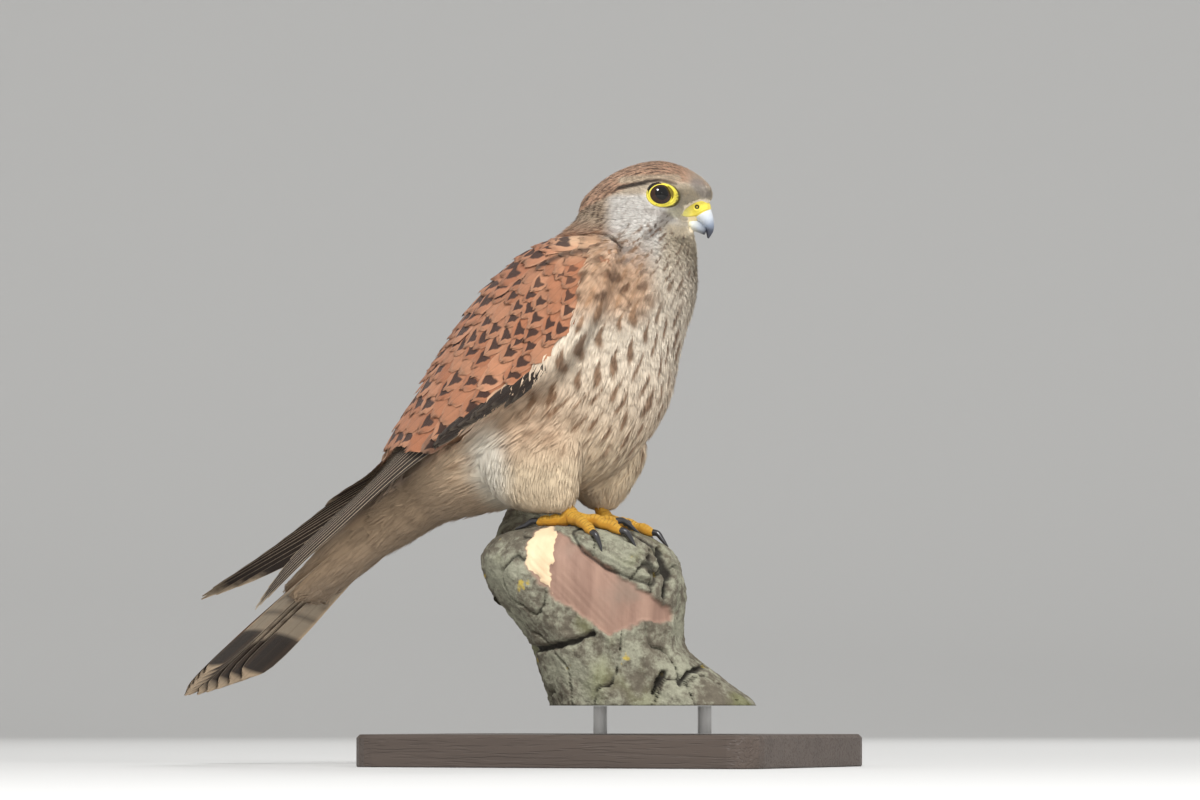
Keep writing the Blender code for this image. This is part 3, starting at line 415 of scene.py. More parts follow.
# Each thigh from hip to ankle: the centre of each section, half its length and half its width.
THIGHS = (
    ((-10, -13, 62, 18, 10), (-15, -18.5, 45, 24, 15), (-18.5, -22, 28, 25.8, 16.5),
     (-16.5, -22, 14, 21.5, 14), (-13, -21, 6.5, 15.5, 10.5), (-10, -20.5, 4, 10, 7)),
    ((-8, 13, 62, 16, 10), (-8, 17.5, 45, 23, 15), (-7.5, 20.5, 30, 25, 16), (-6, 20, 17.5, 17.5, 13),
     (-4, 19.5, 10, 10.5, 9), (-3, 19, 7, 7, 6)),
)


def head_point(local):
    """Points of the head's own frame, in the bird's frame."""
    return np.asarray(local, float) @ HEAD_AXES.T + HEAD_CENTRE


def head_local(points):
    return (np.asarray(points, float) - HEAD_CENTRE) @ HEAD_AXES


BODY = [(bx, 0, bz, fx, 0, fz, width, 0) for bx, bz, fx, fz, width in TRUNK]
BODY[-1] = (*BODY[-1][:7], HEAD_TURN * 0.15)
for bx, bz, fx, fz, width in HEAD:
    BODY.append((*head_point((bx, 0, bz)), *head_point((fx, 0, fz)), width, HEAD_TURN))


def body_grid(stations, sides, grow=0.0):
    """The body's form, one row of points for each station from the tail root to the face."""
    stations = np.asarray(stations, float)
    row = between(BODY, stations)
    middle, half = (row[:, 0:3] + row[:, 3:6]) / 2, (row[:, 0:3] - row[:, 3:6]) / 2
    depth = np.linalg.norm(half, axis=1, keepdims=True)
    up = half / depth
    lateral = np.stack([-np.sin(row[:, 7]), np.cos(row[:, 7]), 0 * row[:, 7]], 1)
    lateral -= up * (lateral * up).sum(1, keepdims=True)
    lateral /= np.linalg.norm(lateral, axis=1, keepdims=True)
    a = (math.tau * np.arange(sides) / sides)[None, :, None]
    grow = np.broadcast_to(np.asarray(grow, float), len(stations))[:, None]
    rise, reach = (depth + grow)[..., None], (row[:, 6:7] + grow)[..., None]
    points = middle[:, None] + up[:, None] * rise * np.cos(a) + lateral[:, None] * reach * np.sin(a)
    local = head_local(points)
    x, z = local[..., 0], local[..., 2]
    local[..., 1] *= 1 - 0.62 * ease((x - 9) / 14) * ease((5 - z) / 11) * ease((z + 20.5) / 5)
    return np.where((stations > T_HEAD)[:, None, None], head_point(local), points)


def tail_axes():
    """The tail's way out, its left and its upper side."""
    along = Vector((-math.cos(TAIL_SLOPE), 0, -math.sin(TAIL_SLOPE)))
    roll = Matrix.Rotation(TAIL_ROLL, 3, along)
    return along, roll @ Vector((0, 1, 0)), roll @ Vector((-math.sin(TAIL_SLOPE), 0, math.cos(TAIL_SLOPE)))


def tail_rings(sides, inset=0.0):
    along, left, up = (np.array(axis) for axis in tail_axes())
    turns = [math.tau * k / sides for k in range(sides)]
    rings = []
    for reach, half, top, bottom in TAIL_CORE:
        rings.append([np.array(TAIL_ROOT) + along * reach + left * (half - inset) * math.sin(a)
                      + up * ((top if math.cos(a) > 0 else bottom) - inset) * math.cos(a) for a in turns])
    return rings


def thigh_rings(rows, sides, inset=0.0):
    rings = []
    for t in np.linspace(0, len(rows) - 1, 26):
        x, y, z, long, wide = between(rows, t)
        rings.append([(x + (long - inset) * math.cos(math.tau * i / sides),
                       y + (wide - inset) * math.sin(math.tau * i / sides), z) for i in range(sides)])
    return rings


def loft_faces(rows, sides, first=0, ends=True):
    """Faces of a closed skin through rings of points."""
    made = []
    for r in range(rows - 1):
        for k in range(sides):
            low, high, n = first + r * sides, first + (r + 1) * sides, (k + 1) % sides
            made.append((low + k, low + n, high + n, high + k))
    if ends:
        made.append(tuple(range(first, first + sides))[::-1])
        made.append(tuple(range(first + (rows - 1) * sides, first + rows * sides)))
    return made


def surface_tree(*lofts):
    """Lofts as one surface that feathers are held clear of, its faces turned outwards."""
    points, faces = [], []
    for rings in lofts:
        first, count = len(points), len(rings[0])
        rings = [[Vector(p) for p in ring] for ring in rings]
        points += [p for ring in rings for p in ring]
        middle = sum(rings[len(rings) // 2], Vector()) / count
        new = loft_faces(len(rings), count, first, False)
        corners = [points[i] for i in new[(len(rings) // 2) * count]]
        if (corners[1] - corners[0]).cross(corners[3] - corners[0]).dot(corners[0] - middle) < 0:
            new = [face[::-1] for face in new]
        for cap, ring in ((0, rings[0]), (len(rings) - 1, rings[-1])):
            hub = len(points)
            points.append(sum(ring, Vector()) / count)
            inward = sum(rings[min(max(cap, 1), len(rings) - 2)], Vector()) / count
            for k in range(count):
                face = (hub, first + cap * count + k, first + cap * count + (k + 1) % count)
                c = [points[i] for i in face]
                out = (c[1] - c[0]).cross(c[2] - c[0])
                new.append(face if out.dot(c[0] - inward) > 0 else face[::-1])
        faces += new
    return BVHTree.FromPolygons(points, faces)


def held_off(tree, point, distance, rest=False):
    """The point moved out to a distance from a surface. With rest, it is also drawn in to it."""
    hit, normal, _, _ = tree.find_nearest(point)
    height = (point - hit).dot(normal)
    if height >= distance and not rest:
        return point
    if height > 0 and (point - hit).length > 1e-6:
        normal = (point - hit).normalized()
    return hit + normal * distance


# The folded wings' outer faces, wrist to tip: lower edge, upper edge, and the bulge between them.
WING_ROWS = (
    ((27, -30, 117, 21, -25, 120, 1), (25, -36, 100, -12, -21, 113, 5), (14, -39, 76, -38, -14, 102, 8),
     (-1, -40, 60, -55, -9, 83, 9), (-23, -40, 49, -68, -7, 61.5, 9), (-48, -37, 35, -80, -7, 41, 7),
     (-73, -33, 21, -94, -8, 21, 5), (-104, -28, -1, -113, -12, 5, 3),
     (-131, -28, -22.5, -137.5, -18, -16, 1.5), (-148.5, -28, -40, -153.5, -20.5, -34.5, 0.5)),
    ((27, -30, 117, 21, -25, 120, 1), (24, -36, 101, -12, -21, 113, 5), (13, -39, 78, -38, -14, 102, 8),
     (-2, -40, 62, -58, -9, 84, 10), (-26, -40, 51, -75, -8, 63, 10), (-52, -38, 38, -90, -11, 46, 8),
     (-82, -34, 25, -111, -16, 28, 5), (-118, -29, 5, -141, -19, 14, 3),
     (-159, -26, -15.5, -172, -18, -6.5, 1), (-203, -24, -34.5, -210, -17, -27.5, 0.5)),
)


class Sheet:
    """The outer face of one folded wing, from wrist to tip and from its lower edge to its upper edge."""

    LONG, WIDE = 36, 10

    def __init__(self, rows, trunk, place):
        self.points = np.zeros((self.LONG + 1, self.WIDE + 1, 3))
        last = len(rows) - 1
        for i in range(self.LONG + 1):
            row = between(rows, last * i / self.LONG)
            low, high = Vector(row[:3]), Vector(row[3:6])
            ahead = Vector(between(rows, min(last * i / self.LONG + 0.2, last))[:3])
            behind = Vector(between(rows, max(last * i / self.LONG - 0.2, 0))[:3])
            out = (high - low).cross(ahead - behind)
            out = out.normalized() if out.length > 1e-6 else Vector((0, -1, 0))
            out = -out if out.y > 0 else out
            for j in range(self.WIDE + 1):
                c = j / self.WIDE
                point = place @ (low.lerp(high, c) + out * float(row[6]) * 4 * c * (1 - c))
                self.points[i, j] = held_off(trunk, point, 1.6)
        for _ in range(3):
            inner = self.points[1:-1].copy()
            self.points[1:-1] = 0.5 * inner + 0.25 * (self.points[:-2] + self.points[2:])
            for spot in np.ndindex(self.LONG + 1, self.WIDE + 1):
                self.points[spot] = held_off(trunk, Vector(self.points[spot]), 1.6)
        self.side = -1 if place.determinant() > 0 else 1

    def raw(self, s, c):
        i, j = min(max(s, 0), 1) * self.LONG, min(max(c, 0), 1) * self.WIDE
        a, b = int(min(i, self.LONG - 1)), int(min(j, self.WIDE - 1))
        f, g, p = i - a, j - b, self.points
        low, high = p[a, b] * (1 - f) + p[a + 1, b] * f, p[a, b + 1] * (1 - f) + p[a + 1, b + 1] * f
        return Vector(low * (1 - g) + high * g)

    def normal(self, s, c):
        along = self.raw(min(s + 0.02, 0.97), c) - self.raw(max(min(s, 0.93) - 0.02, 0), c)
        across = self.raw(min(s, 0.9), min(c + 0.1, 1)) - self.raw(min(s, 0.9), max(c - 0.1, 0))
        out = along.cross(across).normalized()
        return out if out.y * self.side > 0 else -out

    def at(self, s, c, lift=0.0):
        return self.raw(s, c) + self.normal(s, c) * lift

    def hull(self, end, depth, thick, thin):
        """Rings of a closed form on the sheet, as thick as the wing's flesh and thinning towards its end."""
        rings = []
        for i in range(31):
            outer, inner = [], []
            for c in (0, 0.02, 0.07, 0.15, 0.28, 0.42, 0.58, 0.72, 0.85, 0.93, 0.98, 1):
                s = end * i / 30
                front = math.sin(math.pi / 2 * min(1, 0.22 + 6 * s))
                rounded, blunt = math.sin(math.pi * c) ** 0.5, min(1, 0.62 + 9 * min(c, 1 - c))
                blend = min(1, s / 0.28)
                edge = max(rounded * (1 - blend) + blunt * blend, 0.25) if 0 < c < 1 else 0.25 + 0.2 * blend
                full = thick + (thin - thick) * float(ease((s / end - 0.55) / 0.45))
                outer.append(self.at(s, c, 0.2 + full * front * edge))
                inner.append(self.at(s, c, -depth))
            rings.append(outer + inner[::-1])
        return rings


stations = np.linspace(0, T_HEAD, 25)
solid_tail = [body_grid([0], 30)[0]] + tail_rings(30)
blades = []
for reach, half in ((90, 21), (120, 24), (148, 24)):
    along, left, up = (np.array(axis) for axis in tail_axes())
    blades.append([np.array(TAIL_ROOT) + along * reach + up * (3.6 * math.cos(math.tau * k / 30) + 0.4)
                   + left * half * math.sin(math.tau * k / 30) for k in range(30)])
trunk_tree = surface_tree(list(body_grid(stations, 30)), solid_tail + blades)
sheets = [Sheet(WING_ROWS[0], trunk_tree, Matrix.Identity(4)),
          Sheet(WING_ROWS[1], trunk_tree, Matrix.Diagonal((1, -1, 1, 1)))]


def skin_depth(t):
    """How far the skin lies inside the outline: deep under the body's feathers, shallow on the face."""
    return 1.8 - 1.05 * ease((np.asarray(t, float) - 6.6) / 3.4)


def fused(name, lofts, voxel):
    """Closed lofts grown together into one even skin, as a mesh in millimetres."""
    points, faces = [], []
    for rings in lofts:
        faces += loft_faces(len(rings), len(rings[0]), len(points))
        points += [tuple(p) for ring in rings for p in ring]
    raw = bpy.data.meshes.new(name)
    raw.from_pydata(points, [], faces)
    holder = bpy.data.objects.new(name, raw)
    bpy.context.scene.collection.objects.link(holder)
    even = holder.modifiers.new("even", "REMESH")
    even.mode, even.voxel_size, even.use_smooth_shade = "VOXEL", voxel, True
    soft = holder.modifiers.new("soft", "SMOOTH")
    soft.factor, soft.iterations = 0.5, 4
    bpy.context.view_layer.update()
    made = bpy.data.meshes.new_from_object(holder.evaluated_get(bpy.context.evaluated_depsgraph_get()))
    bpy.data.objects.remove(holder)
    return made


def filled(mesh, rounds=45):
    """Raises the hollows of the throat and before the shoulders, which the real bird's feathers bridge."""
    count = len(mesh.vertices)
    points, normals = np.empty(count * 3), np.empty(count * 3)
    pairs = np.empty(len(mesh.edges) * 2, np.int32)
    mesh.vertices.foreach_get("co", points)
    mesh.vertices.foreach_get("normal", normals)
    mesh.edges.foreach_get("vertices", pairs)
    points, normals, (one, two) = points.reshape(-1, 3), normals.reshape(-1, 3), pairs.reshape(-1, 2).T
    neighbours = np.bincount(one, minlength=count) + np.bincount(two, minlength=count)
    x, _, z = head_local(points).T
    share = ease((points[:, 2] - 90) / 10) * (1 - ease((x - 17) / 3) * ease((z + 13) / 1.5))
    share *= 1 - ease((14 - np.hypot(x - 13, z - 0.5)) / 3)
    for _ in range(rounds):
        total = np.zeros((count, 3))
        np.add.at(total, one, points[two])
        np.add.at(total, two, points[one])
        outward = ((total / neighbours[:, None] - points) * normals).sum(1)
        points = points + normals * (np.maximum(outward, 0) * share)[:, None]
    mesh.vertices.foreach_set("co", points.ravel())
    mesh.update()
    return mesh


def mesh_arrays(mesh):
    points = np.empty(len(mesh.vertices) * 3)
    mesh.vertices.foreach_get("co", points)
    return points.reshape(-1, 3), [tuple(face.vertices) for face in mesh.polygons]


stations = np.linspace(0, T_FACE, 150)
trunk_lofts = [list(body_grid(stations, 72, -skin_depth(stations))),
               [body_grid([0.25], 72, -1.8)[0]] + tail_rings(72, 1.2),
               thigh_rings(THIGHS[0], 40, 1.8), thigh_rings(THIGHS[1], 40, 1.8)]
VOXEL = 1.15
skin_mesh = filled(fused("skin", trunk_lofts + [sheet.hull(0.5, 5, 4.6, 1.2) for sheet in sheets], VOXEL))
bed_mesh = filled(fused("bed", trunk_lofts + [sheet.hull(0.74, 5, 4.8, 2.6) for sheet in sheets], VOXEL))
bed_points, bed_faces = mesh_arrays(bed_mesh)
bed = BVHTree.FromPolygons([Vector(p) for p in bed_points], bed_faces)

# Where a point lies on the body: the station from tail root to face, and the angle round from the back.
MAP_ROWS, MAP_SIDES = 181, 96
map_stations = np.linspace(0, T_FACE, MAP_ROWS)
map_grid = body_grid(map_stations, MAP_SIDES, -skin_depth(map_stations))
map_way = -np.gradient(map_grid, axis=0)
map_way /= np.linalg.norm(map_way, axis=2, keepdims=True) + 1e-9
body_map = KDTree(MAP_ROWS * MAP_SIDES)
for number, point in enumerate(map_grid.reshape(-1, 3)):
    body_map.insert(point, number)
body_map.balance()


def places_of(points):
    """For each point the body's station, the angle round it, and the nearest point's number on the map."""
    number = np.array([body_map.find(p)[1] for p in points])
    row, column = number // MAP_SIDES, number % MAP_SIDES
    away = np.asarray(points) - map_grid[row, column]
    down_rows = map_grid[np.minimum(row + 1, MAP_ROWS - 1), column] - map_grid[np.maximum(row - 1, 0), column]
    around = map_grid[row, (column + 1) % MAP_SIDES] - map_grid[row, (column - 1) % MAP_SIDES]
    row, column = (whole + np.clip(2 * (away * step).sum(1) / ((step ** 2).sum(1) + 1e-9), -0.5, 0.5)
                   for whole, step in ((row, down_rows), (column, around)))
    return np.interp(row, np.arange(MAP_ROWS), map_stations), math.tau * column / MAP_SIDES, number


def blend(share, first, second):
    share = np.asarray(share, float)[..., None]
    return np.asarray(first, float) * (1 - share) + np.asarray(second, float) * share


def near_line(x, z, start, end, width):
    """1 on a stroke drawn across the head's side, fading to 0 at its width."""
    (ax, az), (bx, bz) = start, end
    share = np.clip(((x - ax) * (bx - ax) + (z - az) * (bz - az)) / ((bx - ax) ** 2 + (bz - az) ** 2), 0, 1)
    return ease(1.5 - np.hypot(x - ax - share * (bx - ax), z - az - share * (bz - az)) / width)


def chance_at(column, row, seed):
    """A fixed number from 0 to 1 for each cell of a grid."""
    value = np.sin(column * 127.1 + row * 311.7 + seed * 74.7) * 43758.5453
    return value - np.floor(value)


def drops(u, v, wide, long, seed, fill=0.85):
    """Drop-shaped marks in staggered rows, broad at their lower ends."""
    column = np.floor(u)
    v = v + 0.5 * (column % 2) + 0.35 * chance_at(column, 0, seed)
    row = np.floor(v)
    x = u - column - 0.5 - 0.3 * (chance_at(column, row, seed) - 0.5)
    y = v - row - 0.5 - 0.25 * (chance_at(column, row, seed + 1) - 0.5)
    size = 0.72 + 0.5 * chance_at(column, row, seed + 2)
    edge = 1 - np.hypot(x / (wide * size * np.clip(1 - 1.5 * y, 0.3, 1.6)), y / (long * size))
    return ease(edge * 2.4) * (chance_at(column, row, seed + 3) < fill)


MAP_LENGTH = np.concatenate([[0], np.cumsum(np.linalg.norm(np.diff(map_grid, axis=0), axis=2).mean(1))])


def plumage(points, t, a):
    """The plumage's pattern and painted shade under the wing: the ground colour, the dark marks' colour, and
    how strong the marks are.
    """
    x, _, z = head_local(points).T
    side = np.cos(a)
    v = np.interp(t, map_stations, MAP_LENGTH)
    wander = 0.25 * np.sin(v / 7 + 3 * np.sin(a * 3)) + 0.12 * np.sin(v / 2.6 + a * 17)
    back = ease((side + 0.02) / 0.3)
    belly = blend(ease((t - 0.2) / 1.6), (0.42, 0.30, 0.195), (0.72, 0.53, 0.355))
    under = blend(ease((t - 2.6) / 2.6), belly, (0.94, 0.82, 0.66))
    ahead, aside, high = points[:, 0], np.abs(points[:, 1]), points[:, 2]
    legs = ease((44 - high) / 26) * ease((ahead + 48) / 10)
    lobe = ease(1.4 - np.hypot((ahead + 34) / 13, (high - 22) / 20))
    under = blend(legs * 0.55, under, (0.74, 0.62, 0.43))
    # Painted shade: the flank and belly under the folded wing are painted browner.
    shaded = ease((70 - high) / 20) * ease((high - 18) / 16)
    shaded = shaded * ease((ahead + 50) / 14) * ease((14 - ahead) / 22)
    under = blend(shaded * 0.6, under, (0.50, 0.335, 0.22))
    under = blend(lobe * 0.9, under, (0.82, 0.76, 0.64))
    turn = a / math.tau
    fine = drops(turn * 54 + wander, v / 9.5, 0.23, 0.46, 1)
    fine = fine * ease((t - 5.3) / 0.8) * ease((8.6 - t) / 1.0)
    broad = drops(turn * 43 + wander, v / 14.5, 0.25, 0.49, 5, 0.9)
    broad = broad * ease((t - 2.6) / 0.8) * ease((6.2 - t) / 0.9)
    flank = drops(turn * 24 + wander, v / 11.0, 0.36, 0.40, 9, 0.8) * ease((4.2 - t) / 1.0)
    flank = flank * ease((t - 0.9) / 0.7) * ease((side + 0.75) / 0.25) * (1 - legs * 0.8)
    marked = np.maximum(np.maximum(fine * 0.78, broad * 0.88), flank * 0.5) * (1 - back)
    under = blend(marked, under, (0.235, 0.12, 0.058))
    shoulder = ease((ahead - 4) / 10) * ease((46 - ahead) / 12) * ease((high - 78) / 16)
    shoulder = shoulder * ease((aside - 16) / 8) * ease((124 - high) / 6)
    edged = drops(turn * 30 + v / 30 + wander, v / 8.5, 0.34, 0.34, 41, 0.8)
    under = blend(shoulder * 0.8, under, (0.66, 0.38, 0.215))
    under = blend(shoulder * edged * 0.8, under, (0.17, 0.085, 0.045))
    over = blend(ease((2.0 - t) / 1.0), (0.56, 0.225, 0.10), (0.42, 0.31, 0.235))
    trunk = under * (1 - back[:, None]) + over * back[:, None]
    crown = ease((z - 5.4 - 0.42 * np.minimum(x - 2, 0)) / 2.6)
    nape = ease((-8 - x) / 7)
    throat = ease((-9 - z) / 4) * ease((x - 9) / 6)
    head = blend(ease((2.5 - z) / 3), (0.80, 0.66, 0.50), (0.98, 0.93, 0.86))
    head = blend(nape, head, (0.62, 0.47, 0.33))
    head = blend(throat, head, (0.82, 0.70, 0.52))
    lore = ease((x - 15) / 5) * ease((7 - z) / 4) * (1 - throat)
    head = blend(lore * 0.8, head, (0.66, 0.55, 0.38))
    head = blend(crown, head, (0.76, 0.46, 0.30))
    head = blend(ease((x - 19) / 7) * crown, head, (0.64, 0.50, 0.38))
    head = blend(near_line(x, z, (26, 6), (29, 2.5), 2.5) * 0.55, head, (0.36, 0.33, 0.34))
    brow = near_line(x, z, (18, 8.4), (-6, 8.0), 1.7)
    head = blend(brow * 0.75, head, (0.80, 0.66, 0.48))
    hairs = drops(turn * 88 + wander, v / 7.5, 0.32, 0.52, 13, 0.97)
    streaked = np.maximum(crown * 0.92, nape * 0.95) * (1 - throat) * (1 - 0.6 * brow)
    head = blend(hairs * streaked * ease((24 - x) / 8), head, (0.08, 0.04, 0.023))
    cheek = drops(turn * 60 + wander, v / 5.0, 0.16, 0.4, 17, 0.8) * ease((4 - x) / 8) * ease((4 - z) / 4)
    head = blend(cheek * 0.35 * (1 - nape), head, (0.33, 0.25, 0.19))
    line = np.maximum(near_line(x, z, (10, 7.3), (4, 6.7), 0.75), near_line(x, z, (5, 6.4), (-7, 4.4), 1.0))
    head = blend(line * 0.95, head, (0.035, 0.022, 0.017))
    head = blend(near_line(x, z, (11, 7.4), (17.5, 5.8), 0.7) * 0.75, head, (0.10, 0.065, 0.04))
    head = blend(near_line(x, z, (19.5, 2.5), (17, -4), 1.3) * 0.35, head, (0.20, 0.155, 0.10))
    patch = ease(1.5 - np.hypot((x - 16.5) / 3.2, (z + 6.2) / 2.2))
    head = blend(patch * 0.75, head, (0.72, 0.66, 0.46))
    moustache = near_line(x, z, (13.5, -8.6), (6.5, -17), 2.2)
    wisps = drops(turn * 70 + wander, v / 4.6, 0.26, 0.5, 23, 0.95)
    head = blend(moustache * (0.55 + 0.4 * wisps), head, (0.11, 0.07, 0.05))
    side_streaks = drops(turn * 44 + wander, v / 7.5, 0.24, 0.44, 29, 0.9)
    low_side = ease((-12 - z) / 4) * ease((7 - x) / 4) * ease((x + 22) / 6)
    head = blend(side_streaks * low_side * 0.75, head, (0.30, 0.165, 0.09))
    head = blend(near_line(x, z, (5, -6), (12, -7), 1.3) * 0.3, head, (0.3, 0.22, 0.17))
    ring = np.hypot((x - 12.9) / 6.5, (z - 0.6) / 5.2)
    head = blend(ease((1.04 - ring) / 0.08), head, (0.20, 0.16, 0.03))
    gape = ease((x - 21.2) / 0.8) * ease((z + 13) / 1) * ease((-5 - z) / 1)
    head = blend(gape, head, (0.66, 0.54, 0.30))
    neck = ease((t - 6.0) / 1.1)
    low_neck = ease((9.0 - t) / 1.2) * (1 - back)
    head = blend(low_neck * fine * 0.8, head, (0.235, 0.125, 0.062))
    ground = trunk * (1 - neck[:, None]) + head * neck[:, None]
    dark = blend(back * (1 - neck), (0.13, 0.08, 0.055), (0.04, 0.02, 0.016))
    spot = back * (1 - neck) * ease((t - 1.2) / 1.2)
    return ground, dark, np.stack([spot, 0 * spot, 0 * spot], 1)


def feather_finish(name, sheen, fringe_width, fringe_strength):
    """Feather vanes: barbs running out from the shaft, dark marks kept to their place on each feather."""
    made = Finish(name)
    across, along, chance = made.three("lie")
    spot, bars, _ = made.three("marks")
    ground, dark = made.vector("ground"), made.vector("dark")
    cloud = made.grain(420, 3)
    edge = abs(across)
    ragged = (cloud - 0.5) * 0.30
    place = 0.76 + 0.05 * chance
    arrow = made.rise(0.135 - edge * 0.10 + ragged * 0.30 - abs(along + edge * 0.20 - place), -0.025, 0.035)
    arrow = arrow * made.rise(0.56 + 0.16 * chance + ragged - edge, -0.08, 0.10) * spot
    wave = made.node("ShaderNodeMath", {"operation": "SINE"}, {0: along * 40.0 - edge * 3.0 + ragged * 3.0})
    bar = made.rise(wave, 0.25, 0.62) * made.rise(0.86 - edge, 0.0, 0.1) * bars
    mark = made.node("ShaderNodeMath", {"operation": "MAXIMUM"}, {0: arrow, 1: bar})
    outermost = made.node("ShaderNodeMath", {"operation": "MAXIMUM"}, {0: edge, 1: along * 0.98})
    fringe = made.rise(outermost + ragged * 0.15, 1 - fringe_width, 1 - 0.35 * fringe_width)
    shade = 0.90 + 0.20 * chance + (cloud - 0.5) * 0.22
    base = made.node("ShaderNodeVectorMath", {"operation": "SCALE"}, {0: ground, "Scale": shade})
    base = made.mix(fringe * fringe_strength, base, (0.72, 0.57, 0.40))
    base = made.mix(made.rise(edge, 0.10, 0.02) * 0.18, base, (0.10, 0.06, 0.04))
    barbs = made.node("ShaderNodeMath", {"operation": "SINE"}, {0: along * 150.0 - edge * 95.0})
    made.set(Base_Color=made.mix(mark * 0.94, base, dark), Roughness=0.66 + 0.12 * cloud,
             Specular_IOR_Level=0.28, Sheen_Weight=sheen, Sheen_Roughness=0.4)
    made.relief(barbs * 0.5 + cloud * 0.6 - made.rise(edge, 0.06, 0.0) * 0.5, 0.00012)
    return made


feather_vanes = feather_finish("body feather vanes", 0.08, 0.16, 0.10)
skin_points, skin_faces = mesh_arrays(skin_mesh)
t, a, _ = places_of(skin_points)
ground, dark, marks = plumage(skin_points, t, a)
down = Finish("down and skin under the coat")
cloud = down.grain(300, 4)
base = down.node("ShaderNodeVectorMath", {"operation": "SCALE"},
                 {0: down.vector("ground"), "Scale": 0.72 + 0.3 * cloud})
down.set(Base_Color=base, Roughness=0.9, Specular_IOR_Level=0.15)
down.relief(cloud, 0.0004)
skin = mesh_piece("skin", skin_points, skin_faces, down, {"ground": ground})
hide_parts("torso", "neck", "head", "thigh_left", "thigh_right", "tail", "wing_left", "wing_right")

# Body coat: overlapping contour feathers from the bill's base to the tail, each rooted in the skin.
# They are smallest on the face and longest on belly and rump, with frayed tips, and lie the way they grow.
BILL_BASE = head_point((26, 0, -5))
# Places along the shaft, widths there, half a barb lock's width or 0 for a closed vane, and columns.
TEMPLATES = {
    "small": ((0, 0.40, 0.76, 1), (0.6, 0.95, 0.95, 0.8), 0.2, 5),
    "contour": ((0, 0.30, 0.58, 0.82, 1), (0.45, 0.85, 1, 0.92, 0.72), 0.11, 9),
    "covert": ((0, 0.2, 0.4, 0.6, 0.76, 0.88, 0.96, 1), (0.4, 0.75, 0.95, 1, 0.93, 0.74, 0.45, 0.16), 0, 7),
}


class Coat:
    """Feathers gathered for one piece, each a grid of points with its lie, colours, marks and map place."""

    def __init__(self):
        self.count, self.points, self.faces, self.kept = 0, [], [], {}

    def add(self, grid, lie, ground, dark, marks, patch):
        """Adds equal grids of points, as an array of feathers by rows by columns by three."""
        feathers, rows, columns = grid.shape[:3]
        self.points.append(grid.reshape(-1, 3))
        cell = (np.arange(rows - 1)[:, None] * columns + np.arange(columns - 1)).ravel()
        quads = np.stack([cell, cell + 1, cell + columns + 1, cell + columns], 1)
        starts = self.count + np.arange(feathers)[:, None, None] * rows * columns
        self.faces.append((quads[None] + starts).reshape(-1, 4))
        self.count += feathers * rows * columns
        whole = {"lie": lie, "ground": ground, "dark": dark, "marks": marks, "patch": patch}
        for key, values in whole.items():
            values = np.broadcast_to(values, (feathers, rows, columns, values.shape[-1]))
            self.kept.setdefault(key, []).append(values.reshape(-1, values.shape[-1]).astype(np.float32))

    def make(self, name, finish):
        """Makes the coat's pieces, each with fewer than 200,000 triangles and its own OFBake map."""
        made = []
        points, faces = np.concatenate(self.points), np.concatenate(self.faces)
        kept = {key: np.concatenate(values) for key, values in self.kept.items()}
        parts = math.ceil(len(faces) / 92000)
        for part in range(parts):
            chosen = faces[len(faces) * part // parts:len(faces) * (part + 1) // parts]
            used, chosen = np.unique(chosen, return_inverse=True)
            chosen = chosen.reshape(-1, 4)
            marks = {key: kept[key][used] for key in ("lie", "ground", "dark", "marks")}
            title = name if parts == 1 else f"{name}_{part + 1}"
            piece = mesh_piece(title, points[used], chosen, finish, marks)
            patch = kept["patch"][used]
            low, high = patch.min(0), patch.max(0)
            patch = 0.01 + 0.98 * (patch - low) / (high - low)
            bake = piece.data.uv_layers.new(name="OFBake")
            bake.data.foreach_set("uv", patch[chosen.ravel()].astype(np.float32).ravel())
            made.append(piece)
        return made


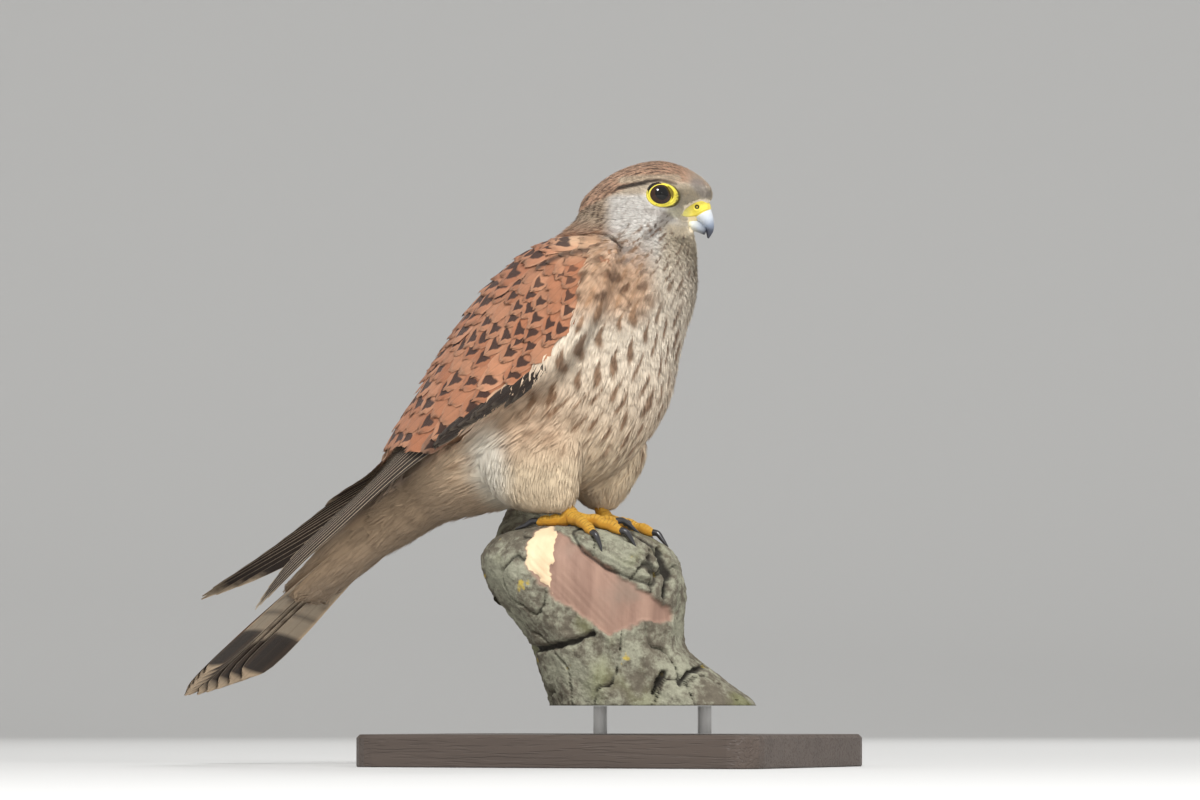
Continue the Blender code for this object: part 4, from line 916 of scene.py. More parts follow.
def lay(tree, roots, ways, length, half, kind, lift, rng, droop=0.22, bed_in=0.25):
    """Grids of feather points: shafts bedded along a surface, tips rising off it and frayed at random.

    A contour feather is loose and falls apart into locks of barbs. A covert holds together as one vane.
    """
    rows, widths, barb, columns = TEMPLATES[kind]
    widths, steps = np.array(widths), np.diff(rows, prepend=0)
    lines = np.zeros((3, len(roots), len(rows), 3))
    ups = np.zeros((len(roots), len(rows), 3))
    for n, root in enumerate(roots):
        point, way = Vector(root), Vector(ways[n])
        for r, along in enumerate(rows):
            point, normal, _, _ = tree.find_nearest(point + way * (length[n] * steps[r]))
            way = (way - normal * way.dot(normal)).normalized()
            side = normal.cross(way) * (half[n] * widths[r])
            height = -bed_in + (lift[n] + bed_in) * along ** 1.25
            lines[0, n, r] = point + normal * height
            ups[n, r] = normal
            if half[n] > 1.4:
                for k, sign in ((1, -1), (2, 1)):
                    hit, out, _, _ = tree.find_nearest(point + side * sign)
                    lines[k, n, r] = hit + out * (height * (1 - droop))
            else:
                lines[1, n, r] = point - side + normal * height * (1 - droop)
                lines[2, n, r] = point + side + normal * height * (1 - droop)
    along = np.array(rows)
    step = np.gradient(lines[0], axis=1)
    step /= np.linalg.norm(step, axis=2, keepdims=True) + 1e-9
    length, lift = np.asarray(length), np.asarray(lift)
    middle, low, high = lines
    if not barb:
        c = np.linspace(-1, 1, columns)[None, None, :, None]
        middle, low, high = (line[:, :, None] for line in lines)
        grid = middle + 0.5 * c * (high - low) + c * c * (0.5 * (high + low) - middle)
        across = np.broadcast_to(c[..., 0], grid.shape[:3])
        along = np.broadcast_to(along[None, :, None], grid.shape[:3])
        fray = rng.uniform(-1, 1, grid.shape[:3]) * ease((along - 0.45) / 0.5)
        reach = length[:, None, None] * (0.05 * fray + 0.05 * ease((along - 0.8) / 0.2) * (1 - across ** 2))
        loose = rng.uniform(-1, 1, grid.shape[:3]) * along ** 2 * lift[:, None, None] * 0.10
        grid = grid + step[:, :, None] * reach[..., None] + ups[:, :, None] * loose[..., None]
        chance = np.broadcast_to(rng.random(len(roots))[:, None, None], grid.shape[:3])
        return grid, np.stack([across, along, chance], 3), np.arange(len(roots))
    centre = np.linspace(-1 + barb, 1 - barb, columns)
    shape = (len(roots), columns, len(rows), 2)
    thin = np.interp(along, (0, 0.5, 0.85, 1), (1.5, 1.35, 0.8, 0.12)) * barb
    sway = rng.normal(0, 0.12, shape[:2])[:, :, None] * along ** 2
    c = centre[None, :, None, None] + sway[..., None] + thin[:, None] * np.array((-1, 1))
    middle, low, high = (line[:, None, :, None] for line in lines)
    c4 = c[..., None]
    grid = middle + 0.5 * c4 * (high - low) + c4 * c4 * (0.5 * (high + low) - middle)
    uneven = 0.10 * rng.uniform(-1, 1, shape[:2]) - 0.13 * centre[None] ** 2
    reach = length[:, None, None] * uneven[..., None] * ease((along - 0.3) / 0.7)
    loose = rng.normal(0, 0.16, shape[:2])[..., None] * lift[:, None, None] * along ** 2
    grid = grid + (step[:, None] * reach[..., None] + ups[:, None] * loose[..., None])[:, :, :, None]
    along = np.broadcast_to(along[None, None, :, None], shape)
    chance = np.broadcast_to(rng.random(shape[:2])[:, :, None, None], shape)
    lie = np.stack([np.clip(c, -1, 1), along, chance], -1)
    whole = (-1, len(rows), 2, 3)
    return grid.reshape(whole), lie.reshape(whole), np.repeat(np.arange(len(roots)), columns)


def patch_at(u, v, lie):
    """Each feather's own small patch of the map, at its root's place on the surface unrolled."""
    return np.stack([u, v], -1)[:, None, None] + 0.0015 * np.stack([lie[..., 0], lie[..., 1] * 2 - 1], -1)


def rooted(starts, ways):
    """Starts set down on the bed, and ways turned to run along it."""
    hits = [bed.find_nearest(start) for start in starts]
    roots, normals = (np.array([tuple(hit[part]) for hit in hits]) for part in (0, 1))
    ways = np.array([tuple(way) for way in ways])
    ways -= normals * (ways * normals).sum(1, keepdims=True)
    return roots, ways / np.linalg.norm(ways, axis=1, keepdims=True)


def scattered(points, faces, spacing_of, rng, crowd=5.0):
    """Places spread evenly over a surface, as far apart as spacing_of gives at each."""
    points = np.asarray(points)
    triangles = np.array([(f[0], f[i], f[i + 1]) for f in faces for i in range(1, len(f) - 1)])
    corners = points[triangles]
    cross = np.cross(corners[:, 1] - corners[:, 0], corners[:, 2] - corners[:, 0])
    area = 0.5 * np.linalg.norm(cross, axis=1)
    spacing = spacing_of(corners.mean(1))
    weight = np.where(spacing > 0, area / np.maximum(spacing, 0.1) ** 2, 0)
    tries = rng.choice(len(triangles), int(weight.sum() * crowd), p=weight / weight.sum())
    u, v = rng.random(len(tries)), rng.random(len(tries))
    u, v = np.where(u + v > 1, 1 - u, u), np.where(u + v > 1, 1 - v, v)
    c = corners[tries]
    tried = c[:, 0] + u[:, None] * (c[:, 1] - c[:, 0]) + v[:, None] * (c[:, 2] - c[:, 0])
    spacing = spacing[tries]
    near = KDTree(len(tried))
    for number, point in enumerate(tried):
        near.insert(point, number)
    near.balance()
    free = np.ones(len(tried), bool)
    kept = []
    for number in range(len(tried)):
        if free[number]:
            kept.append(number)
            for _, other, _ in near.find_range(tried[number], spacing[number]):
                free[other] = False
    return tried[kept]


# The way that feathers lie: on the trunk back from the head, down the thighs, and out along tail and wings.
LIE_LOFTS = [np.array([[tuple(p) for p in ring] for ring in rings]) for rings in (
    thigh_rings(THIGHS[0], 40, 1.8), thigh_rings(THIGHS[1], 40, 1.8), tail_rings(72, 1.2),
    sheets[0].hull(0.74, 5, 4.8, 2.6), sheets[1].hull(0.74, 5, 4.8, 2.6))]
lie_points, lie_ways = [map_grid.reshape(-1, 3)], [map_way.reshape(-1, 3)]
lie_labels = [np.zeros(map_grid.size // 3)]
for label, rings in enumerate(LIE_LOFTS):
    way = np.gradient(rings, axis=0)
    way /= np.linalg.norm(way, axis=2, keepdims=True) + 1e-9
    lie_points.append(rings.reshape(-1, 3))
    lie_ways.append(way.reshape(-1, 3))
    lie_labels.append(np.full(rings.size // 3, label + 1))
lie_points, lie_ways, lie_labels = (np.concatenate(part) for part in (lie_points, lie_ways, lie_labels))
lie_map = KDTree(len(lie_points))
for number, point in enumerate(lie_points):
    lie_map.insert(point, number)
lie_map.balance()
TRUNK_PART, THIGH_PARTS, TAIL_PART, WING_PARTS = 0, (1, 2), 3, (4, 5)


def feather_length(points):
    """How long a contour feather is, by where it grows."""
    reach = np.linalg.norm(np.asarray(points) - BILL_BASE, axis=1)
    return np.clip(1.7 + 0.115 * reach, 2.1, 15)


def off_eyes(points):
    """True for the points that are clear of both eyes' bare rings."""
    local = head_local(points)
    ring = np.hypot((local[..., 0] - 13.2) / 6.3, (local[..., 2] - 0.5) / 5.1)
    return (ring > 1) | (local[..., 0] < 0)


def off_bill(points):
    """True for the points that are clear of the cere and the bill."""
    local = head_local(points)
    x, z = local[..., 0], local[..., 2]
    return ~((x > np.where(z > -7.5, 21, 22.4)) & (z < -0.9 - 0.42 * np.maximum(27 - x, 0)) & (z > -12.6))


BIB_EDGE = ((-50, -36, -29, -7, 3, 14, 18, 21), (-99, 38, 50, 67, 76, 86, 104, 121))


def bib(points):
    """Over 0, in millimetres, where the breast's side feathers lie over the folded wing's front edge."""
    points = np.asarray(points)
    return np.interp(points[..., 0], *BIB_EDGE) - points[..., 2]


def mantled(t, a):
    """True on the back, where the mantle's broad feathers grow."""
    return (t < 6.2) & (np.cos(a) > 0.12)


def body_spacing(points):
    label = lie_labels[[lie_map.find(p)[1] for p in points]]
    t, a, _ = places_of(points)
    spacing = 0.195 * feather_length(points)
    spacing = np.where(mantled(t, a) & (label == TRUNK_PART), 6.0, spacing)
    spacing = np.where(np.isin(label, THIGH_PARTS), 2.0, spacing)
    spacing = np.where(label == TAIL_PART, 3.2, spacing)
    allowed = (~np.isin(label, WING_PARTS) | (bib(points) > 2)) & off_eyes(points) & off_bill(points)
    return np.where(allowed, spacing, 0)


rng = np.random.default_rng(7)
roots = scattered(bed_points, bed_faces, body_spacing, rng)
roots = roots[off_eyes(roots) & off_bill(roots)]
number = np.array([lie_map.find(p)[1] for p in roots])
label, ways = lie_labels[number], lie_ways[number]
t, a, nearest = places_of(roots)
winged = np.isin(label, WING_PARTS)
ways = np.where(winged[:, None], map_way.reshape(-1, 3)[nearest], ways)
from_bill = roots - BILL_BASE
from_bill /= np.linalg.norm(from_bill, axis=1, keepdims=True)
face_share = (ease((t - 6.2) / 1.8) * (label == TRUNK_PART))[:, None]
ways = ways * (1 - face_share) + from_bill * face_share
ways = ways + rng.normal(0, 0.06, ways.shape)
_, ways = rooted(roots, ways)
mantle = mantled(t, a) & (label == TRUNK_PART)
thigh = np.isin(label, THIGH_PARTS)
low_thigh = ease((26 - roots[:, 2]) / 22)
length = feather_length(roots)
length = np.where(mantle, 17, length)
length = np.where(thigh, 13.5 - 5.5 * low_thigh, length)
length = np.where(label == TAIL_PART, 23, length)
length *= rng.uniform(0.88, 1.12, len(length))
half = np.where(length < 5, 0.27 * length + 0.12, 0.24 * length + 0.3)
half = np.where(mantle, 4.8, half)
lift = np.where(label == TRUNK_PART, skin_depth(t) * 0.95, 1.5)
lift = np.where(thigh, 1.7 - 0.8 * low_thigh, lift)
lift = np.where(label == TAIL_PART, 1.2, lift)
lift = lift * rng.uniform(0.84, 1.06, len(lift))
_, dark, marks = plumage(roots, t, a)
marks[:, 0] *= (rng.random(len(roots)) > 0.15) & (mantle | (label == TRUNK_PART))
tint = rng.uniform(0.94, 1.06, len(roots))

parts = {
    "coat_face": (t > 10.5) & (label == TRUNK_PART),
    "coat_crown": (t > 8) & (t <= 10.5) & (label == TRUNK_PART),
    "coat_neck": (t > 5.6) & (t <= 8) & ~mantle & ((label == TRUNK_PART) | winged),
    "coat_breast": (t <= 5.6) & ~mantle & ((label == TRUNK_PART) | winged),
    "coat_mantle": mantle,
    "coat_thighs": thigh,
    "coat_tail_base": label == TAIL_PART,
}
for name, chosen in parts.items():
    coat = Coat()
    for kind, sized in (("small", length < 4.6), ("contour", (length >= 4.6) & ~mantle), ("covert", mantle)):
        pick = np.flatnonzero(chosen & sized)
        if len(pick) == 0:
            continue
        grid, lie, owner = lay(bed, roots[pick], ways[pick], length[pick], half[pick], kind, lift[pick], rng)
        pick = pick[owner]
        flat = grid.reshape(-1, 3)
        at_t, at_a, _ = places_of(flat)
        painted = plumage(flat, at_t, at_a)[0].reshape(grid.shape) * tint[pick][:, None, None, None]
        coat.add(grid, lie, painted, dark[pick][:, None, None], marks[pick][:, None, None],
                 patch_at(a[pick] / math.tau, t[pick] / T_FACE, lie))
    coat.make(name, feather_vanes)

# Wings: folded flight feathers under spotted coverts, with the scapulars laid over their upper edge.
# Each long feather is a thin closed vane on the wing's sheet, from the outermost primary to the top tertial.
FLIGHT_FEATHERS = 21
PRIMARIES = 10
POINTED = ((0, 0.6), (0.1, 0.85), (0.2, 0.97), (0.3, 1), (0.42, 1), (0.53, 0.93), (0.64, 0.84), (0.74, 0.72),
           (0.83, 0.58), (0.9, 0.43), (0.95, 0.3), (0.985, 0.17), (1, 0.06))
ROUNDED = ((0, 0.55), (0.1, 0.75), (0.2, 0.88), (0.3, 0.96), (0.45, 1), (0.6, 1), (0.72, 1), (0.81, 0.95),
           (0.88, 0.84), (0.93, 0.7), (0.965, 0.52), (0.99, 0.3), (1, 0.12))
FLIGHT_ROOT = 0.42
# From the lowest feather to the highest: the root's height on the sheet, the tip's place, half the width.
FLIGHT = (
    (0.07, 0.955, 0.17, 4.4), (0.15, 1.0, 0.36, 4.8), (0.22, 0.985, 0.52, 4.9), (0.29, 0.93, 0.62, 5.0),
    (0.36, 0.875, 0.70, 5.0), (0.43, 0.82, 0.76, 5.1), (0.50, 0.775, 0.80, 5.2), (0.58, 0.735, 0.80, 5.4),
    (0.66, 0.71, 0.82, 5.7), (0.74, 0.69, 0.84, 6.0), (0.82, 0.665, 0.87, 6.2), (0.90, 0.635, 0.90, 6.2),
)
VANE_ROWS, VANE_COLUMNS = 27, 9
VANE_THICK, VANE_STEP = 0.34, 0.44
SPOT_BROWN = np.array((0.042, 0.022, 0.018))
WING_LENGTH = 245


def closed_vanes(coat, grid, ups, thick, lie, ground, dark, marks, patch):
    """Adds feathers as thin closed vanes, an upper and an under face that meet along their edges."""
    edge = np.abs(lie[..., 0:1]) ** 6
    ends = np.clip(np.minimum(lie[..., 1:2] * 12, (1 - lie[..., 1:2]) * 12), 0, 1)
    half = thick / 2 * (1 - 0.92 * edge) * (0.15 + 0.85 * ends)
    coat.add(grid + ups * half, lie, ground, dark, marks, patch)
    # Painted shade: the under face is painted a tenth darker than the upper face.
    coat.add((grid - ups * half)[:, :, ::-1], lie[:, :, ::-1], ground * 0.9, dark, marks, patch[:, :, ::-1])


flight_vanes = feather_finish("flight feather vanes", 0.03, 0.10, 0.75)
tail_finish = feather_finish("tail feather vanes", 0.03, 0.06, 0.30)
for side, sheet in enumerate(sheets):
    rng = np.random.default_rng(31 + side)
    coat = Coat()
    for k in range(FLIGHT_FEATHERS):
        share = k / (FLIGHT_FEATHERS - 1)
        root_c, tip_s, tip_c, half = between(FLIGHT, (len(FLIGHT) - 1) * share)
        primary = k < PRIMARIES
        rows = np.linspace(0, 1, VANE_ROWS) ** 0.9
        widths = np.interp(rows, *zip(*(POINTED if primary else ROUNDED)))
        grid, ups = np.zeros((2, VANE_ROWS, VANE_COLUMNS, 3))
        for r, along in enumerate(rows):
            s, c = FLIGHT_ROOT + (tip_s - FLIGHT_ROOT) * along, root_c + (tip_c - root_c) * along
            span = max((sheet.raw(s, 1) - sheet.raw(s, 0)).length, 1)
            reach = half * widths[r] / span
            level = float(ease((s - 0.6) / 0.3))
            fall = VANE_STEP * (FLIGHT_FEATHERS - 1) * (1 - 0.5 * level)
            ups[r] = up = sheet.normal(s, c)
            for j, across in enumerate(np.linspace(-1, 1, VANE_COLUMNS)):
                place = c + reach * across
                height = 1.5 + VANE_STEP * k - fall * place + 0.35 * (1 - across ** 2)
                grid[r, j] = sheet.raw(s, place) + up * height
        lie = np.broadcast_arrays(np.linspace(-1, 1, VANE_COLUMNS)[None], rows[:, None], rng.random())
        lie = np.stack(lie, -1)
        if primary:
            ground, dark, mark = np.array(((0.040, 0.028, 0.022), (0.30, 0.18, 0.11), (0, 0, 0)))
        else:
            tertial = float(ease((share - 0.66) / 0.16))
            ground = blend(tertial, (0.075, 0.048, 0.034), (0.52, 0.215, 0.105))
            dark, mark = np.array(((0.045, 0.022, 0.017), (0, 0.95, 0)))
        patch = np.stack([0.03 * k + 0.012 * (lie[..., 0] + 1), lie[..., 1]], -1)
        closed_vanes(coat, grid[None], ups[None], VANE_THICK, lie[None], ground, dark, mark, patch[None])
    coat.make(("flight_right", "flight_left")[side], flight_vanes)

    coat = Coat()
    picked = []
    tip, row = 0.615, 0
    while tip > -0.01:
        size = 13.0 + 10.5 * float(ease(tip / 0.55))
        span = (sheet.raw(max(tip, 0.02), 1) - sheet.raw(max(tip, 0.02), 0)).length
        count = max(int(round(span / (0.365 * size))), 3)
        for j in range(count + 1):
            c = (j + 0.5 * (row % 2)) / count
            if c <= 1.001:
                picked.append((tip - size / WING_LENGTH, c, size))
        tip -= 0.43 * size / WING_LENGTH
        row += 1
    s, c, size = np.array([row for row in picked if bib(sheet.raw(max(row[0], 0.0), row[1])) < 3.5]).T
    s += rng.uniform(-0.007, 0.007, len(s))
    c = np.clip(c + rng.uniform(-0.02, 0.02, len(c)), 0.0, 1)
    starts = [sheet.at(max(u, 0.0), v, 6) + (sheet.raw(0.0, v) - sheet.raw(0.05, v)) * max(-u, 0) * 20
              for u, v in zip(s, c)]
    ways = [sheet.raw(min(max(u, 0) + 0.1, 0.95), v) - sheet.raw(max(u, 0), v) for u, v in zip(s, c)]
    roots, ways = rooted(starts, ways)
    size *= rng.uniform(0.95, 1.06, len(size))
    half, lift = 0.235 * size, 0.55 + 0.038 * size + rng.uniform(-0.08, 0.12, len(size))
    grid, lie, _ = lay(bed, roots, ways, size, half, "covert", lift, rng, 0.2)
    rufous = blend(rng.random(len(roots)) * 0.9, (0.43, 0.17, 0.085), (0.55, 0.265, 0.15))
    front = ease((0.16 - s) / 0.14)
    spot = np.where(rng.random(len(roots)) < 0.74 - 0.3 * front, 1.0, 0.0) * (1 - 0.35 * front)
    edge_band = ease((0.07 - c) / 0.07) * ease((s - 0.2) / 0.15)
    rufous = blend(edge_band * 0.8, rufous, (0.16, 0.10, 0.07))
    marks = np.stack([spot, 0 * spot, 0 * spot], 1)[:, None, None]
    ahead, high = grid[..., 0], grid[..., 2]
    # Painted shadow: a dark curved line on the coverts, where the scapulars' lower edge shades them.
    scapular_shadow = np.maximum(near_line(ahead, high, (19, 115), (6, 113.5), 1.3),
                      near_line(ahead, high, (6, 113.5), (-8, 107.5), 1.1)) * 0.85
    collar = ease((high - 108) / 8) * ease((ahead + 6) / 14)
    shade = blend(collar * 0.75, rufous[:, None, None], (0.62, 0.40, 0.245))
    coat.add(grid, lie, blend(scapular_shadow, shade, (0.06, 0.03, 0.02)), SPOT_BROWN, marks, patch_at(c, s, lie))

    # The scapulars hang from the shoulder over the wing's upper edge.
    picked = [(u, v, 29 - 30 * abs(u - 0.14)) for u in np.arange(0.34, -0.02, -0.036)
              for v in (0.80, 0.90, 1.0)]
    u, v, size = np.array(picked).T
    u += rng.uniform(-0.01, 0.01, len(u)) + 0.05 * (v - 0.8)
    v = np.clip(v + rng.uniform(-0.02, 0.02, len(v)) + 0.12 * (u > 0.25), 0, 1)
    starts = [sheet.at(max(p, 0), q, 7) for p, q in zip(u, v)]
    ways = [sheet.raw(min(max(p, 0) + 0.1, 0.95), max(q - 0.05, 0)) - sheet.raw(max(p, 0), q)
            for p, q in zip(u, v)]
    roots, ways = rooted(starts, ways)
    grid, lie, _ = lay(bed, roots, ways, size, 0.215 * size, "covert", 1.5 + 0.03 * size, rng, 0.3, 0.1)
    rufous = blend(rng.random(len(roots)) * 0.8, (0.42, 0.17, 0.09), (0.52, 0.25, 0.145))
    collar = ease((grid[..., 2] - 112) / 8) * ease((grid[..., 0] + 6) / 14)
    shade = blend(collar * 0.85, rufous[:, None, None], (0.60, 0.40, 0.25))
    coat.add(grid, lie, shade, SPOT_BROWN, np.array((1, 0, 0)), patch_at(v, u, lie))

    # Along the lower edge the dark primary coverts show, each with a cream outer edge.
    u = np.arange(0.25, 0.47, 0.022)
    v = 0.03 + 0.012 * np.cos(u * 60)
    starts = [sheet.at(p, q, 4) for p, q in zip(u, v)]
    roots, ways = rooted(starts, [sheet.raw(p + 0.12, 0.03) - sheet.raw(p, 0.03) for p in u])
    size, lift = np.full(len(u), 33.0), np.full(len(u), 2.3)
    grid, lie, _ = lay(bed, roots, ways, size, 2.0 + 1.2 * u / 0.46, "covert", lift, rng, 0.5, 0.1)
    outer_side = np.clip(lie[..., 0] if side == 0 else -lie[..., 0], 0, 1)
    shade = blend(ease((outer_side - 0.6) / 0.4) * 0.45, np.array((0.038, 0.026, 0.020)), (0.60, 0.46, 0.31))
    coat.add(grid, lie, shade, SPOT_BROWN, np.zeros(3), patch_at(v, u, lie))
    coat.make(("coverts_right", "coverts_left")[side], feather_vanes)

# Tail: six pairs of long feathers, the middle pair on top, closed almost to one blade.
# Above they are barred rufous, below grey-buff and faintly barred, with a black band and pale tips.
TAIL_LENGTH, TAIL_STEP_SHORTER = 152, 3.6
TAIL_SHAPE = ((0, 0.45), (0.25, 0.74), (0.55, 0.93), (0.78, 1), (0.88, 0.95), (0.94, 0.8), (0.975, 0.58),
              (1, 0.22))
TAIL_DARK = np.array((0.03, 0.02, 0.016))
along_axis, left_axis, up_axis = (np.array(axis) for axis in tail_axes())
rng = np.random.default_rng(51)
coat = Coat()
for number in range(1, 7):
    for side in (-1, 1):
        long = TAIL_LENGTH - TAIL_STEP_SHORTER * (number - 1) * (0.5 + 0.1 * number)
        root_y, tip_y = 0.8 + 2.1 * (number - 1), 1.8 + 2.72 * (number - 1)
        layer = 0.75 if number == 1 and side > 0 else -0.88 * (number - 1)
        rows = 1 - (1 - np.linspace(0, 1, 33)) ** 1.15
        widths = np.interp(rows, *zip(*TAIL_SHAPE))
        reach = 48 + (long - 48) * rows
        centre, half = root_y + (tip_y - root_y) * rows, 9.4 * widths
        low, high = centre - half, centre + half
        if number > 1:
            low = np.maximum(low, 0.4)
        c = np.linspace(0, 1, 9)
        y = low[:, None] * (1 - c) + high[:, None] * c
        across = -1 + 2 * c[None] + 0 * y
        rise = layer + 3.3 - y * y / 200 + 0.3 * (1 - across ** 2)
        rise = rise + 0.15 * np.sin(reach[:, None] / 9 + number)
        tipped = reach[:, None] + 2.6 * (1 - across ** 2) * ease((rows[:, None] - 0.9) / 0.1)
        grid = (np.array(TAIL_ROOT) + tipped[..., None] * along_axis + (side * y)[..., None] * left_axis
                + rise[..., None] * up_axis)
        if side < 0:
            grid, across = grid[:, ::-1], across[:, ::-1]
        lie = np.stack(np.broadcast_arrays(across, rows[:, None], rng.random()), -1)
        ups = np.broadcast_to(up_axis, grid.shape)
        from_tip = (long - reach)[:, None]
        band = ease((from_tip - 3.5) / 1.6) * ease((29 - from_tip) / 2.0)
        ridge = 0.5 + 0.5 * np.cos(from_tip / 10.2 * math.tau + 0.6 * np.abs(across))
        bars = ease((ridge - 0.72) / 0.16) * (from_tip > 33) * 0.9
        upper = blend(np.maximum(bars * 0.85, band), (0.47, 0.24, 0.14), (0.035, 0.02, 0.016))
        under = blend(np.maximum(bars * 0.6, band * 0.96), (0.36, 0.29, 0.21), (0.022, 0.015, 0.012))
        rufous = ease((np.abs(across) - 0.72) / 0.14) * (1 - ease((np.abs(across) - 0.95) / 0.05))
        upper, under = (blend(rufous * 0.55, shade, (0.46, 0.24, 0.12)) for shade in (upper, under))
        outer = ease((across - 0.82) / 0.14) * (number == 6)
        tip = 1 - ease((from_tip - 3.2) / 1.4)
        rim = np.maximum(tip, outer * (1 - band))
        upper, under = (blend(rim * 0.9, shade, (0.60, 0.44, 0.29)) for shade in (upper, under))
        first = 0.08 * (2 * number - 2 + (side > 0))
        patch = np.stack([first + 0.030 * (across + 1), rows[:, None] + 0 * y], -1)[None]
        edge = np.abs(across[..., None]) ** 6
        thick = VANE_THICK / 2 * (1 - 0.9 * edge)
        coat.add((grid + ups * thick)[None], lie[None], upper[None], TAIL_DARK, np.zeros(3), patch)
        coat.add((grid - ups * thick)[None, :, ::-1], lie[None, :, ::-1], under[None, :, ::-1],
                 TAIL_DARK, np.zeros(3), (patch + np.array((1.0, 0)))[:, :, ::-1])
coat.make("tail_vanes", tail_finish)

# Eyes: glass domes, near black with a faint brown iris, set in the head with their pupils ahead and outwards.
# They are the glossiest thing on the bird, and each fills its socket.
EYE_PLACE, EYE_RADIUS, EYE_FORWARD = Vector((9.8, 14.7, 1.2)), 6, math.radians(24)
HEAD_PLACE = Matrix.Translation(Vector(HEAD_CENTRE)) @ Matrix.Rotation(HEAD_TURN, 4, "Z")


def eye_place(side):
    """The eye's own frame in the bird's frame, its pupil along +Z."""
    place = Vector((EYE_PLACE.x, side * EYE_PLACE.y, EYE_PLACE.z))
    ahead = Vector((math.sin(EYE_FORWARD), side * math.cos(EYE_FORWARD), 0.05)).normalized()
    return HEAD_PLACE @ Matrix.Translation(place) @ ahead.to_track_quat("Z", "Y").to_matrix().to_4x4()


eye_glass = Finish("eye glass")
from_pupil = eye_glass.number("from_pupil")
threads = eye_glass.grain(1400, 3, eye_glass.stretched(1, 1, 1))
iris = eye_glass.mix(threads, (0.014, 0.006, 0.003), (0.040, 0.017, 0.008))
iris = eye_glass.mix(eye_glass.rise(from_pupil, 0.42, 0.47), (0.002, 0.002, 0.002), iris)
eye_glass.set(Base_Color=eye_glass.mix(eye_glass.rise(from_pupil, 0.78, 0.86), iris, (0.004, 0.003, 0.003)),
              Roughness=0.03, Specular_IOR_Level=0.42)
for side, name in ((-1, "eye_right"), (1, "eye_left")):
    place = eye_place(side)
    points, faces, share = [place @ Vector((0, 0, EYE_RADIUS * 1.02))], [], [0.0]
    for r in range(1, 41):
        a = math.pi * 0.62 * r / 40
        dome = EYE_RADIUS * (1 + 0.02 * math.cos(a) ** 2)
        for k in range(72):
            b = math.tau * k / 72
            points.append(place @ Vector((dome * math.sin(a) * math.cos(b), dome * math.sin(a) * math.sin(b),
                                          dome * math.cos(a))))
            share.append(min(a / 1.15, 1))
    faces += [(0, 1 + k, 1 + (k + 1) % 72) for k in range(72)]
    faces += loft_faces(40, 72, 1, False)
    faces.append(tuple(1 + 39 * 72 + k for k in range(72))[::-1])
    eye = mesh_piece(name + "_glass", points, faces, eye_glass, {"from_pupil": share})
    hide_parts(name)

# Lids: a bare ring of bright yellow skin round each eye, folded in soft ridges and drawn towards the bill.
# It grips the glass along its inner edge and sinks under the face's feathers along its outer one.
lid_skin = Finish("lid skin")
wrinkle = lid_skin.grain(1500, 3)
from_glass = lid_skin.number("outward")
colour = lid_skin.mix(wrinkle, (0.60, 0.50, 0.04), (0.82, 0.70, 0.08))
# Painted shade: the lid darkens to olive towards its outer edge, where it sinks under the feathers.
colour = lid_skin.mix(lid_skin.rise(from_glass, 0.45, 1.0) * 0.75, colour, (0.40, 0.34, 0.07))
# Painted shade: a near-black line along the inner edge, where the lid meets the glass.
colour = lid_skin.mix(1 - lid_skin.rise(from_glass, 0.0, 0.07), colour, (0.04, 0.03, 0.01))
SOFT_SKIN = {"Subsurface_Weight": 0.08, "Subsurface_Radius": (0.004, 0.003, 0.001), "Subsurface_Scale": 0.2}
lid_skin.set(Base_Color=colour, Roughness=0.42, Specular_IOR_Level=0.5, **SOFT_SKIN)
lid_skin.relief(wrinkle, 0.00012)
LIDS_ROUND, LIDS_WIDE = 96, 15
for side, name in ((-1, "lids_right"), (1, "lids_left")):
    place = eye_place(side)
    ahead = place.to_3x3().inverted() @ (HEAD_PLACE.to_3x3() @ Vector((1, 0, 0)))
    ahead = Vector((ahead.x, ahead.y, 0)).normalized()
    above = Vector((0, 0, 1)).cross(ahead).normalized()
    if (place.to_3x3() @ above).z < 0:
        above = -above
    inward = place.to_3x3() @ Vector((0, 0, -1))
    points, faces, outward = [], [], []
    for k in range(LIDS_ROUND):
        a = math.tau * k / LIDS_ROUND
        c, s = math.cos(a), math.sin(a)
        inner = Vector((4.75 * c, 4.1 * s - 0.4))
        drawn = 1 + 0.30 * math.exp(-((math.atan2(s, c) + 0.32) / 0.55) ** 2)
        outer = Vector(((7.0 if c > 0 else 6.1) * c * drawn, 5.35 * s * drawn - 0.5))
        for j in range(LIDS_WIDE):
            u = j / (LIDS_WIDE - 1)
            flat = inner.lerp(outer, u)
            spot = ahead * flat.x + above * flat.y
            on_ball = math.sqrt(max(37.2 - spot.length_squared, 0))
            hit = bed.ray_cast(place @ (spot + Vector((0, 0, 16))), inward)[0]
            on_face = (place.inverted() @ hit).z + 0.45 if hit else on_ball
            share = float(ease(u * 1.15 - 0.05))
            spot.z = max(on_ball * (1 - share) + on_face * share, on_face * min(1, u * 3)) - 0.12
            ridge = 0.42 * math.sin(math.pi * min(u / 0.52, 1)) ** 0.8
            ridge += 0.26 * max(math.sin(math.pi * (u - 0.5) / 0.4), 0)
            spot.z += ridge * (1 + 0.12 * math.sin(9 * a) * u) - 0.7 * float(ease((u - 0.88) / 0.12))
            points.append(place @ spot)
            outward.append(u)
    for k in range(LIDS_ROUND):
        n = (k + 1) % LIDS_ROUND
        for j in range(LIDS_WIDE - 1):
            quad = (k * LIDS_WIDE + j, n * LIDS_WIDE + j, n * LIDS_WIDE + j + 1, k * LIDS_WIDE + j + 1)
            faces.append(quad if side < 0 else quad[::-1])
    lids = mesh_piece(name, points, faces, lid_skin, {"outward": outward})
    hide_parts("head")

